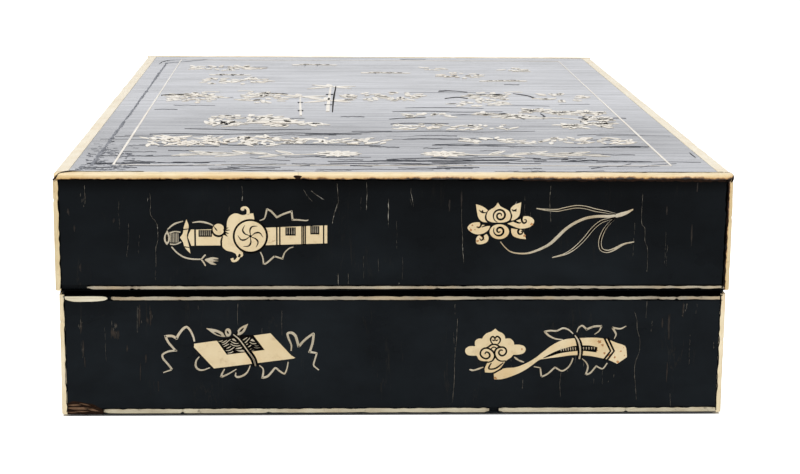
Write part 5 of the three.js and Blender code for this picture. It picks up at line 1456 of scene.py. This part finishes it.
pine = Drawing()
pine.line("plate", (4, 3.4, 3, 2.4, 1.6), "124,-100 112,-78 118,-56 98,-44 88,-30")
pine.line("plate", (2.4, 2, 1.2), "113,-70 98,-62 66,-58; 117,-60 124,-50 130,-36")
SCALES = ((121, -95), (116, -86), (112, -76), (114, -66), (116, -56), (104, -48), (94, -38))
pine.line("ink", (0.3, 0.8, 0.3), *([(u - 2, v - 1), (u, v + 1.5), (u + 2, v)] for u, v in SCALES))
for tuft in ((88, -32), (72, -56), (104, -40), (118, -40), (60, -48), (122, -66), (104, -92),
             (119, -84)):
    pine_tuft(pine, tuft, 7)
    bush(pine, tuft, 14, 12, 12, int(tuft[0]))
pine.lay("garden_pine", GARDEN, worn=True, replaces=("lid_top_pine",))

far = Drawing()
BUSHES = ((-112, 22, 30, 42, 50), (-71, 20, 22, 48, 34), (-8, 26, 22, 36, 30), (14, 30, 20, 34, 26),
          (66, 26, 20, 44, 36), (60, -4, 30, 16, 24), (112, 26, 26, 36, 26), (-103, 102, 12, 30, 18),
          (-82, 104, 20, 30, 24), (-104, 176, 56, 26, 40), (58, 136, 22, 30, 24), (40, 176, 12, 14, 8),
          (98, 172, 14, 18, 12), (28, -56, 24, 20, 18))
for index, (u, v, wide, deep, count) in enumerate(BUSHES):
    bush(far, (u, v), wide, deep, count, 50 + index)
for centre, size, mirror in (((-117, 34), 22, 1), ((-70, 40), 20, -1), ((70, 36), 24, 1)):
    crane(far, centre, size, mirror)
for centre, length, mirror in (((-96, 136), 30, 1), ((84, 108), 34, -1), ((8, 150), 36, 1),
                               ((-40, 196), 34, 1)):
    cloud(far, centre, length, mirror)
far.line("ink", (0.1, 0.45, 0.15), "38,52 46,56 56,50; 40,20 48,26 54,20; 84,44 92,34 96,20")
far.lay("garden_far", GARDEN, worn=True)
print("garden pieces", len([p for p in made_pieces if p.name.startswith("garden")]))

# %% [markdown]
# A fine bone rectangle frames the garden. It is one ring on the plain solid; here it is four thin
# strips, two long ones that have stayed and two short ones that have worn down to a thread.

# %% Border of the top
far_u, far_v = 134.4, 224.4
frame_lines = Drawing()
sides = [[(u, v) for v in (-far_v, 0, far_v)] for u in (-far_u, far_u)]
ends = [[(u, v) for u in (-far_u, 0, far_u)] for v in (-far_v, far_v)]
frame_lines.line("plate", (1.1, 1.2, 0.9, 0.7, 0.6), *sides, flats=40)
frame_lines.line("ribbon", (0.45, 0.3, 0.5), *ends, flats=40)
frame_lines.lay("top_border", GARDEN, worn=True, replaces=("lid_top_border",))
print("border", 2 * far_u, "by", 2 * far_v, "mm")

# %% [markdown]
# Where bone meets lacquer, soot and old glue have gathered in a dark ragged line, thicker towards
# the right corner. Such a line is a strip whose width and course both stray by smooth noise.

# %% Dirt along the bone
def ragged(start, end, thin, thick, top, seed, spacing=0.9):
    """A strip of dirt from start to end. thin and thick are (at start, at end).

    Its width strays between them, and its course strays sideways, by smooth seeded noise.
    """
    start, end = np.array(start, float), np.array(end, float)
    length = np.linalg.norm(end - start)
    s = np.linspace(0, length, int(length / spacing) + 2)
    share = s / length
    rough = 0.5 + 0.5 * smooth_noise(s, s * 0, 4, 1, seed) + 0.4 * smooth_noise(s, s * 0, 1.3, 1, seed + 1)
    least, most = (np.interp(share, (0, 1), pair) for pair in (thin, thick))
    width = least + (most - least) * np.clip(rough, 0, 1)
    side = np.array([start[1] - end[1], end[0] - start[0]]) / length
    stray = 0.25 * smooth_noise(s, s * 0, 2.4, 1, seed + 2)
    return stroke(start + (end - start) * share[:, None] + side * stray[:, None], width, top, 1)


dirt = [ragged((-157.3, 62), (-157.3, 114), (0.3, 0.3), (0.8, 1.0), 0.27, 201),
        ragged((156.6, 62), (156.9, 113.8), (0.3, 0.6), (0.9, 1.6), 0.19, 204),
        ragged((-156, 114.1), (60, 114.1), (0.2, 0.3), (0.7, 0.9), 0.3, 207),
        ragged((-145, 63.3), (157, 63.3), (0.1, 0.3), (0.4, 0.6), 0.23, 213),
        ragged((20, 61.7), (157, 61.7), (0.1, 0.3), (0.3, 0.6), 0.24, 216)]
mark("lid_front_dirt", dirt, DIRT_AND_SEAM_SHADE)
old_glue = [ragged((157.5, 62.5), (157.6, 113.2), (0.1, 0.3), (0.9, 1.3), 0.27, 218),
            ragged((60, 114.1), (158.2, 114.1), (0.4, 0.5), (1.0, 1.7), 0.3, 210)]
mark("lid_front_corner_glue", old_glue, OLD_GLUE)
dirt = [ragged((-156.2, 1), (-156.2, 58), (0.2, 0.3), (0.6, 0.7), 0.27, 221),
        ragged((156.2, 1), (156.2, 58), (0.2, 0.4), (0.6, 0.8), 0.27, 224),
        ragged((-134, 57.9), (157, 57.9), (0.1, 0.3), (0.5, 0.9), 0.24, 227),
        ragged((-136, 56.0), (157, 55.9), (0.0, 0.2), (0.4, 0.5), 0.24, 230),
        ragged((-139, 2.6), (46, 2.6), (0.0, 0.1), (0.5, 0.4), 0.24, 233),
        ragged((51, 2.6), (156, 2.6), (0.1, 0.2), (0.5, 0.8), 0.24, 236)]
mark("base_front_dirt", dirt, DIRT_AND_SEAM_SHADE)
top_dirt = [ragged((56, -243.5), (156, -243.5), (0.2, 0.6), (0.9, 1.4), 0.32, 241),
            ragged((-152, -243.4), (-118, -243.5), (0.5, 0.1), (1.2, 0.6), 0.34, 244)]
mark("lid_top_dirt", top_dirt, DIRT_AND_SEAM_SHADE)


print("dirt laid, pieces", len(made_pieces))

# %% [markdown]
# At both ends of the front arris a line of old glue runs over the rounded corner, where the
# strips are mitred: a thin cord, half sunk in the bone. A plug of glue marks the joint left of
# the middle.

# %% Corner joints
def cord(points, radius, flats=5, around=8):
    """A round cord: at each place on a smooth curve, a ring of points lies square to its course."""
    path = curve(points, flats)
    heading = np.gradient(path, axis=0)
    side = np.cross(heading, (0.3, 0.2, 1.0))
    side /= np.linalg.norm(side, axis=1, keepdims=True)
    other = np.cross(side, heading)
    other /= np.linalg.norm(other, axis=1, keepdims=True)
    angle = np.linspace(0, 2 * np.pi, around, endpoint=False)[:, None]
    ring = side[:, None] * np.cos(angle) + other[:, None] * np.sin(angle)
    return skin(path[:, None] + radius * ring)


LEFT_JOINT = ((-147, -243.3, 116.6), (-151.4, -243.9, 117.0), (-154.6, -246.0, 117.0),
              (-156.6, -248.1, 116.7), (-157.8, -249.4, 115.9), (-158.6, -249.8, 114.9),
              (-159.6, -249.6, 113.8))
RIGHT_JOINT = ((156.6, -243.6, 116.75), (158.6, -244.4, 116.7), (159.5, -246.0, 116.5),
               (159.8, -247.8, 115.9), (159.7, -248.9, 115), (159.3, -249.5, 114.1),
               (158.6, -249.9, 113.4))
joints = [cord(LEFT_JOINT, 0.42), cord(RIGHT_JOINT, 0.32)]
finish_piece("lid_corner_joints", *merged(joints), OLD_GLUE, "lid", "lacquer")
smudge = blobs("157,113.9 156.2,113.7 155.2,114.2", 0.6, 6)
inlay("lid_corner_smudge", [plate(outline, 0.32 + 0.02 * k) for k, outline in enumerate(smudge)],
      FACES["lid_front"], BLACK_PASTE, slot="lacquer")
plug = plate(*paths("-47.8,115.9 -46,116.2 -44,115.8 -44.5,115.1 -44.8,114.2 -46.7,114.1 -47.1,115"), 0.3)
inlay("front_arris_plug", [plug], FACES["lid_front"], OLD_GLUE, slot="lacquer")

print("corners done, pieces", len(made_pieces))

# %% [markdown]
# Lid and base meet in a dark recess. A matt black sheet lies over it and the boards beside it,
# between their two fine lines: painted shade, so the seam reads as one deep shadow.

# %% Seam between lid and base
LID_RIM, BASE_RIM = 61.0, 60.78  # heights where the lid starts and the base ends
for side in WALLS:
    reach = 155.9 if side in ("front", "back") else 242.2
    lid_seam_shade = oblong(-reach - 1, LID_RIM, reach + 1, TALL["lid"][0] - 0.02)
    base_seam_shade = oblong(-reach, TALL["upper"][1] + 0.05, reach, BASE_RIM)
    # painted shade: matt black sheets over the seam and the boards beside it
    mark(f"lid_{side}_seam", [plate(lid_seam_shade, 0.1, smooth=False)], DIRT_AND_SEAM_SHADE)
    mark(f"base_{side}_seam", [plate(base_seam_shade, 0.1, smooth=False)], DIRT_AND_SEAM_SHADE)
print("seam laid, pieces", len(made_pieces))

# %% [markdown]
# Old lacquer cracks. A crack of the walls is long and thin, follows the shrinking board, and is
# pale with dust. It breaks up into short bits, with a hair between them. Rubbed places show as
# soft brown smears. Each crack or smear is a very thin strip laid on the coat.

# %% How lacquer cracks
THREAD_TOP, BIT_TOP, SCUFF_TOP = 0.195, 0.2, 0.21
SMEAR_TOP, SMEAR_STEP = 0.17, 0.005
SPLIT_TOP, CRAZE_TOP = 0.19, 0.18


def wandering(start, end, sway, seed, steps=9):
    """A path from start to end that strays sideways by smooth seeded noise."""
    share = np.linspace(0, 1, steps)[:, None]
    path = np.array(start) * (1 - share) + np.array(end) * share
    side = np.array([start[1] - end[1], end[0] - start[0]], float)
    side /= np.linalg.norm(side)
    stray = smooth_noise(share[:, 0] * 10, share[:, 0] * 0, 1.6, 3, seed)
    return path + side * (sway * stray * np.sin(np.pi * share[:, 0]) ** 0.5)[:, None]


def broken_crack(art_list, path, wide, seed):
    """Short bits of a path: seeded lengths of 1 to 5 mm, with gaps of 0.1 to 1.8 mm."""
    rng = np.random.default_rng(seed)
    course = curve(path, 12)
    walked = np.r_[0, np.cumsum(np.linalg.norm(np.diff(course, axis=0), axis=1))]
    start = 0.0
    while start < walked[-1] - 0.6:
        end = min(start + rng.uniform(1, 5), walked[-1])
        at = np.linspace(start, end, 5)
        bit = np.stack([np.interp(at, walked, course[:, k]) for k in (0, 1)], axis=1)
        bit[:, 0] += rng.uniform(-0.12, 0.12)
        art_list.append(stroke(bit, (0.02, wide * rng.uniform(0.4, 1.3), 0.03), BIT_TOP, 2))
        start = end + rng.uniform(0.1, 1.8)


def scuff(art_list, centre, wide, tall, count, seed):
    """A cloud of very short upright scratches, normally spread about its centre."""
    rng = np.random.default_rng(seed)
    for u, v, length in zip(rng.normal(centre[0], wide / 4, count),
                            rng.normal(centre[1], tall / 4, count), rng.uniform(0.5, 2.4, count)):
        widths = (0.03, rng.uniform(0.05, 0.16), 0.03)
        art_list.append(stroke([(u, v), (u + 0.1, v + length)], widths, SCUFF_TOP, 3))


def smears(marks, seed):
    """Soft upright marks (u, head, foot, width): three strokes each, that stray a little.

    Each stroke steps up in height from the last, over a cycle of thirteen heights, because faces at one
    height would flicker.
    """
    rng = np.random.default_rng(seed)
    made = []
    for u, head, foot, wide in marks:
        for share in (1.0, 0.7, 0.45):
            stray, lift = rng.uniform(-0.4, 0.4) * wide, rng.uniform(-0.5, 0.5)
            path = [(u + stray, head + lift), (u + stray * 0.3, (head + foot) / 2), (u - stray, foot + lift)]
            widths = (0.1, wide * share * 0.6, wide * share, wide * share * 0.5, 0.1)
            made.append(stroke(path, widths, SMEAR_TOP + SMEAR_STEP * (len(made) % 13), 4))
    return made


print("points of a wandering path", len(wandering((0, 0), (0, 20), 0.3, 1)))

# %% [markdown]
# The cracks of the front stand where the real ones do. Each has a thread along its whole course,
# with bits of dust on it. The faintest have no thread, and the widest are filled with chalky dust.

# %% Cracks of the front
FRONT_LID = paths("""-114.8,108 -114.6,102.9 -114.7,97.3 -111.9,93.3 -111.4,86.1 -112.5,81.3 -112.6,74.1;
    -71.9,111.2 -71.7,107 -72,104.1; -145.2,111.5 -145,106.4; 73,111.4 72.7,104 73.5,94; 116.6,107.5
    116.6,94.2 118.2,91 118.6,84.6 119.9,81.3 120.1,74 120,70; -43.4,109.7 -41,106 -39,104; -40,109.2
    -36.4,106.4 -33.4,104.4; -27.4,112.5 -27.1,107.7 -27,102.5 -28.8,98.2 -29.8,93.4; -27,69.3 -26.8,63.6;
    -22.2,69.2 -22,64; -13.8,112.9 -13.4,107.7 -13.6,103.7 -13.7,99.8; -3.2,104.9 -3.3,101.4 -3.3,97.4
    -3.3,91.8; 7.3,110.1 7.2,107.7 8,104.6 8.5,101.4; 31.2,100.6 31.3,92.6 31.9,85.4 31.8,81.3 32.5,74.1""")
FRONT_BASE = paths("""-121.9,53.1 -122,47.2 -122.2,40.3; -74.4,54.5 -74.7,49 -74.5,43.7; -53.5,51 -53.7,44
    -53.5,38.7; 30.1,47 29.7,36 29,27 28.9,16 28.3,5; 115,50.1 116.2,46 116.6,41 118,36.1 117.8,30.3
    116.2,25.3 115.9,20.3 116.4,14.5 117.3,6.5; 120.7,55.4 120.6,50.9 120.5,46.8; 133.5,9.4 134,2.9;
    80.5,21 79.9,14 80.5,8; 62.1,16.6 61.9,12; 153.6,35.2 154,31.8""")
FAINT = paths("""-125.1,93.3 -125.2,87.7 -125.5,82.9 -126.2,77.3; 128.3,89.4 128.3,82.9 128.3,74;
    -14.9,77.7 -14.8,66.8; -7.9,76.5 -7.7,70; -112.6,74.1 -113,66.1""")
CHALKY = paths("""-71.8,110 -71.7,107 -72,104.1; -3.3,103.6 -3.3,97.4 -3.3,93; -13.5,107 -13.7,99.8;
    -27.1,103 -28.2,99.4 -29.8,93.4; -36.8,106.8 -33.4,104.4; 31.9,82 32.5,74.1; -27,68 -26.8,63.6;
    7.2,107.7 8,104.6; -111.6,92 -111.5,87; 57.1,104 55.9,101.4; -115.7,105.6 -115.8,104; 2,64.7 2.2,64""")
THREAD = (0.02, 0.055, 0.03, 0.06, 0.02)
lid_cracks, base_cracks, chalky = [], [], []


def seed_of(path):
    """Ten times how far the crack's first point lies from the middle of the wall."""
    return int(abs(path[0, 0] * 10))


for path in FRONT_LID:
    broken_crack(lid_cracks, path, 0.15, seed_of(path))
    lid_cracks.append(stroke(path, THREAD, THREAD_TOP, 5))
for path in FAINT:
    broken_crack(lid_cracks, path, 0.08, seed_of(path))
for path in FRONT_BASE:
    broken_crack(base_cracks, path, 0.13, seed_of(path) + 1)
    base_cracks.append(stroke(path, THREAD, THREAD_TOP, 5))
for path in CHALKY:
    broken_crack(chalky, path, 0.22, seed_of(path) + 5)
mark("lid_front_chalky_cracks", chalky, WHITE_CRACK)
print("cracks of the front", len(FRONT_LID) + len(FAINT) + len(FRONT_BASE))

# %% [markdown]
# The front is rubbed in places, most of all near its left end. A smear is three soft strokes over
# each other; a scuff is a cloud of tiny scratches.

# %% Rubbed places
LID_SMEARS = ((140.7, 92.6, 82.1, 0.9), (142.5, 112.7, 108.3, 0.6), (128.4, 101.5, 97.5, 0.8),
              (-148, 73.8, 70.2, 0.9), (-152.9, 100, 97.2, 1.1), (-150.4, 92, 89.6, 1),
              (-144.9, 107.2, 105, 1), (25.4, 104.6, 99, 0.9), (31, 108.6, 100.6, 0.8),
              (-131.9, 95.4, 93.6, 1))
BASE_SMEARS = ((-148.6, 46, 39.7, 1.1), (-147.8, 36.2, 28.4, 1), (-147.2, 28.4, 23.5, 0.6),
               (-134.3, 43.1, 37.8, 0.8), (-132.8, 41.5, 37.2, 2.6), (-131.2, 41.1, 36.6, 1.2),
               (-132.1, 44.7, 43.5, 1), (-121, 53.8, 43.1, 1.2), (-115.7, 51.2, 43.7, 0.9),
               (-117.1, 47.6, 44.7, 1.4), (-127.1, 33.7, 30.7, 0.8), (-118.3, 29.6, 25.7, 0.9),
               (-121, 25.1, 16.8, 0.5), (-112.6, 16.4, 11.5, 0.5), (-94.1, 34.5, 29.5, 0.6),
               (128.5, 46.5, 42, 0.9), (131.8, 48.6, 36, 1.1), (131.6, 24.6, 15.5, 0.8),
               (138.3, 54.2, 47.6, 1.1))
mark("lid_front_smears", smears(LID_SMEARS, 61), RUBBED_BROWN)
mark("base_front_smears", smears(BASE_SMEARS, 62), RUBBED_BROWN)
scuff(lid_cracks, (-145, 104), 4, 12, 8, 145)
for centre, wide, tall, count in (((-149, 43), 2, 6, 7), ((-148, 31), 2, 8, 5),
                                  ((-132.5, 42), 4, 7, 12), ((-121.5, 49), 2, 10, 6),
                                  ((-116, 47), 2, 8, 5), ((139, 52), 4, 8, 7), ((96, 20), 30, 24, 6)):
    scuff(base_cracks, centre, wide, tall, count, int(abs(centre[0]) + centre[1]))
print("smears", len(LID_SMEARS) + len(BASE_SMEARS))

# %% [markdown]
# Short faint cracks lie all over the walls. Their places are random, drawn from a seed of each
# wall's own. On the front they join the cracks that were placed one by one.

# %% Cracks of all walls
for side_index, side in enumerate(WALLS):
    reach, count = (150, 11) if side in ("front", "back") else (236, 20)
    for body, cracks, low, high in (("lid", lid_cracks, 66, 111), ("base", base_cracks, 5, 54)):
        own = cracks if side == "front" else []
        rng = np.random.default_rng(100 + side_index + (10 if body == "lid" else 0))
        for u, v, tall in scatter(rng, count, (-reach, reach), (low, high), (3, 20)):
            start = (u, max(low, v - tall / 2))
            end = (u + rng.uniform(-0.5, 0.5), min(high, v + tall / 2))
            seed = int(u * 7) + 2999
            broken_crack(own, wandering(start, end, 0.3, seed), 0.07, seed)
        mark(f"{body}_{side}_cracks", own, PALE_CRACK)
print("cracks laid, pieces", len(made_pieces))

# %% [markdown]
# The top has dark wavy splits that run across it. The longer ones near the front are placed as
# on the real box, each with its width. Hundreds of finer ones are drawn from a seed, in bands
# that thin out towards the back.

# %% Splits of the top
SPLIT_WORN = 0.8  # share of the traced width that is drawn
splits, rng = [], np.random.default_rng(17)
SPLIT_WIDTHS = (1.5, 1.4, 1.2, 1.3, 1.5, 1.0, 0.9, 1.2, 2.6, 1.3, 1.2, 1.0, 0.8, 1.1, 1.1, 1.3, 1.0,
                0.9, 1.0, 0.8, 0.8, 0.8, 1.6, 1.3, 1.5, 1.2, 2.2, 1.4)
SPLITS = paths("""-125.8,-126.2 -110,-124.2 -91.3,-126.7 -72.8,-124.3 -51.6,-120.8 -30.2,-122.9 -8.7,-119;
    -133,-165.3 -117.4,-163.5 -97.2,-158.9 -76.5,-163.3 -56.1,-159 -30.3,-161.3 -4.6,-163.6; -108.7,-106.1
    -89.7,-108 -73.4,-110.7 -40.4,-106.8; -8.6,-117.2 7.6,-115.9 29.4,-113 50.8,-116.6 80.5,-112.9;
    -3,-207 4,-205.1 19,-202.5 26.3,-203.6; 19.1,-199.8 33.8,-202.9 54,-199.7 73.5,-203.1; -127.4,-225.9
    -112,-226.9 -89.8,-223.2; 7,-142.6 11.7,-144.6 16,-141.8; 3,-68.9 9.6,-65.1 16.5,-63.4 24.1,-60;
    23.4,-159.9 37,-157.8 47.1,-161.6 62.3,-160.1; 61.5,-168 77.7,-166.5 98.1,-168.8 119.5,-163.9
    133.9,-165.1; 3.2,-87 14.4,-83.7 35.5,-84.9; 1,-218.2 18,-219.8 42.6,-217.2 71.8,-218.7; 94.3,-232.9
    103.6,-225.6; 107.5,-228.5 116,-218.2; 118,-229.8 126,-222.8 138.2,-218; 101.6,-126.6 120.5,-122.7
    138.6,-127.4; 23.8,-204 43.3,-208.3 63.3,-205.9; -69.9,-202.3 -59.9,-208.2 -50.1,-211.1; -45,-225.7
    -30.6,-222.6 -10.4,-226.8; 82.3,-212.6 102.4,-210 126.9,-212.2; 151,-184.2 151.1,-199.8; 6,-38 24,-36
    46,-39 70,-37; 14,-22 36,-20 60,-23; 40,-52 60,-50 84,-53; 62,-12 80,-10 100,-13; 90,-68 92,-56
    91,-44; -148,196 -146,214 -138,223 -116,226""")
for width, path in zip(SPLIT_WIDTHS, SPLITS):
    wide = width * SPLIT_WORN
    widths = (0.1, wide * 0.7, wide * 0.4, wide, wide * 0.5, wide * 0.8, 0.1)
    splits.append(stroke(path, widths, SPLIT_TOP, 5))
for count, near, far, widest in ((56, -242, -190, 0.28), (30, -190, -110, 0.45),
                                 (12, -110, 60, 0.45), (3, 60, 236, 0.5)):
    for v, u, longest, part, wide in scatter(rng, count, (near, far), (-150, 120), (8, 70), (0.3, 1),
                                             (0.2, widest)):
        length = longest * part
        end = (min(u + length, 151), v + rng.uniform(-2, 2))
        path = wandering((u, v), end, 1.6, int(length * 31), 12)
        splits.append(stroke(path, (0.05, wide, wide * 0.4, wide, 0.05), SPLIT_TOP, 5))
print("long splits", len(splits))

# %% [markdown]
# Near the left edge the boards of the top part: a long dull groove runs from front to back and
# bends in at the far end. Between it and the bone the lacquer is crazed into tiny flakes, and a few
# short splits cross it.

# %% Groove and crazing
groove = [ragged((-144.6, -226), (-143.6, -60), (0.6, 0.5), (2.6, 2.0), 0.18, 301, 2.5),
          ragged((-143.6, -62), (-143.2, 205), (0.3, 0.8), (1.6, 2.4), 0.18, 304, 2.5),
          ragged((-143.4, 203), (-116, 226), (0.8, 0.4), (2.4, 1.6), 0.18, 307, 2.5)]
# painted reflection: matt grey in place of the mirrored white room
mark("lid_top_groove", groove, GROOVE_GREY_PAINTED_REFLECTION)
crazing = []
for u, v, length, width in zip(rng.uniform(-152, -127, 150), -238 + 78 * rng.uniform(0, 1, 150) ** 1.5,
                               rng.uniform(0.8, 3.2, 150), rng.uniform(0.2, 0.6, 150)):
    path = [(u, v), (u + length, v + rng.uniform(-1.6, 1.6))]
    crazing.append(stroke(path, (0.1, width, 0.1), CRAZE_TOP, 5))
mark("lid_top_crazing", crazing, GROOVE_GREY_PAINTED_REFLECTION)
for v, length, width in scatter(rng, 16, (-226, -142), (1, 4), (0.3, 0.9)):
    u = -144 + rng.normal(0, 0.7)
    path = [(u, v), (u + rng.uniform(-1.5, 1.5), v + length)]
    splits.append(stroke(path, (0.1, width, 0.1), BIT_TOP, 5))
# painted reflection: the splits are matt grey in place of the mirrored white room
mark("lid_top_splits", splits, CRACK_GREY_PAINTED_REFLECTION)
print("splits of the top", len(splits), "crazed flakes", len(crazing))

# %% [markdown]
# The boards, the linings and the lip of the base keep their plain solids and only get a finish.
# The boards carry the same lacquer as their coats, and the inside of the box the redder, duller
# lacquer that was never rubbed.

# %% Finishes of the plain solids
FINISH = {"rim_board": INNER_LACQUER, "lining": PAPER, "top_board": TOP_LACQUER, "board": WALL_LACQUER}
for node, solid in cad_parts.items():
    kind = next((kind for kind in FINISH if node.endswith(kind)), None)
    finish = FINISH.get(kind, BONE_PLATE)
    for index in range(len(solid.data.materials)):
        solid.material_slots[index].material = finish
print("solids finished", len(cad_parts))

# %% [markdown]
# The photograph was made on a white table in white light. The floor takes the shadow of the box,
# and gives itself just enough light of its own, towards the camera, to render as white; under
# the box it gives none, a painted shadow in the gap below the box.

# %% Floor
FLOOR_GLOW = 0.75
FLOOR_HALF, FLOOR_LOW = 6, -0.0011  # metres
# painted shadow: the floor has no glow under the box
PAINTED_SHADOW_UNDER_BOX = ((0, 158), (1, 248))  # half the box along X and Y, where the floor does not glow


def floor():
    """A large sheet of white paper, a hair below the box.

    Its glow grows from the border of the box outwards over 0.8 mm, and under the box it has none:
    a painted shadow. The distance beyond the box is the larger of |x| less its half width and |y|
    less its half depth.
    """
    made, tree, surface, place = material("white_paper_sweep", {"Roughness": 1.0,
                                                                "Specular IOR Level": 0.0})
    surface.inputs["Base Color"].default_value = linear("#f3f3f3")
    surface.inputs["Emission Color"].default_value = linear("#ffffff")
    seen = add(tree, "LightPath", {}).outputs["Is Camera Ray"]
    spot = add(tree, "SeparateXYZ", {0: place})
    past = []
    for axis, half in PAINTED_SHADOW_UNDER_BOX:
        away = add(tree, "Math", {0: spot.outputs[axis]}, operation="ABSOLUTE")
        past.append(add(tree, "Math", {0: away, 1: half * MM}, operation="SUBTRACT"))
    beyond = add(tree, "Math", {0: past[0], 1: past[1]}, operation="MAXIMUM")
    glow_outside_painted_shadow = add(tree, "MapRange", {0: beyond, 1: 0.0, 2: 0.8 * MM, 3: 0.0, 4: FLOOR_GLOW})
    glow = add(tree, "Math", {0: seen, 1: glow_outside_painted_shadow}, operation="MULTIPLY")
    tree.links.new(glow.outputs[0], surface.inputs["Emission Strength"])
    mesh = bpy.data.meshes.new("floor")
    corners = oblong(-FLOOR_HALF, -FLOOR_HALF, FLOOR_HALF, FLOOR_HALF)
    mesh.from_pydata(with_height(np.array(corners, float), FLOOR_LOW), [], [(0, 1, 2, 3)])
    mesh.materials.append(made)
    sheet = bpy.data.objects.new("floor", mesh)
    bpy.context.scene.collection.objects.link(sheet)


floor()
print("floor at", FLOOR_LOW / MM, "mm")

# %% [markdown]
# Two soft boxes, above and in front, give the box its form. The world is white where it is seen
# or mirrored, and softer where it lights, so bone does not clip.

# %% Lamps and world
WORLD_LIGHT = 0.6
BOX_MIDDLE = (0, 0, 0.06)  # metres


def lamp(name, place, size, watts):
    """A square soft box at place, in metres, aimed at the middle of the box.

    Its axes are the direction away from the box, one square to that and to the vertical, and
    their cross product.
    """
    data = bpy.data.lights.new(name, "AREA")
    data.shape, data.size, data.energy = "SQUARE", size, watts
    data.specular_factor = 0.3
    made = bpy.data.objects.new(name, data)
    bpy.context.scene.collection.objects.link(made)
    aim = np.array(BOX_MIDDLE) - place
    out = -aim / np.linalg.norm(aim)
    side = np.cross([0, 1, 0] if abs(out[2]) > 0.9 else [0, 0, 1], out)
    side /= np.linalg.norm(side)
    turn = np.eye(4)
    turn[:3, :3] = np.stack([side, np.cross(out, side), out], axis=1)
    turn[:3, 3] = place
    made.matrix_world = turn.T


lamp("soft_box_above", np.array([-0.4, -0.5, 2.0]), 1.6, 20)
lamp("soft_box_front", np.array([0.8, -2.2, 1.1]), 1.4, 11)

world = bpy.data.worlds.new("white_studio")
world.use_nodes = True
bpy.context.scene.world = world
sky = world.node_tree
sky.nodes.clear()
ray = add(sky, "LightPath", {}).outputs
mirrored = add(sky, "Math", {0: ray["Is Glossy Ray"], 1: ray["Is Transmission Ray"]},
               operation="MAXIMUM")
white = add(sky, "Math", {0: ray["Is Camera Ray"], 1: mirrored}, operation="MAXIMUM")
strength = add(sky, "MapRange", {0: white, 3: WORLD_LIGHT, 4: 1.0})
light = add(sky, "Background", {"Color": linear("#ffffff"), "Strength": strength})
add(sky, "OutputWorld", {"Surface": light})
bpy.context.scene.view_settings.view_transform = "Standard"
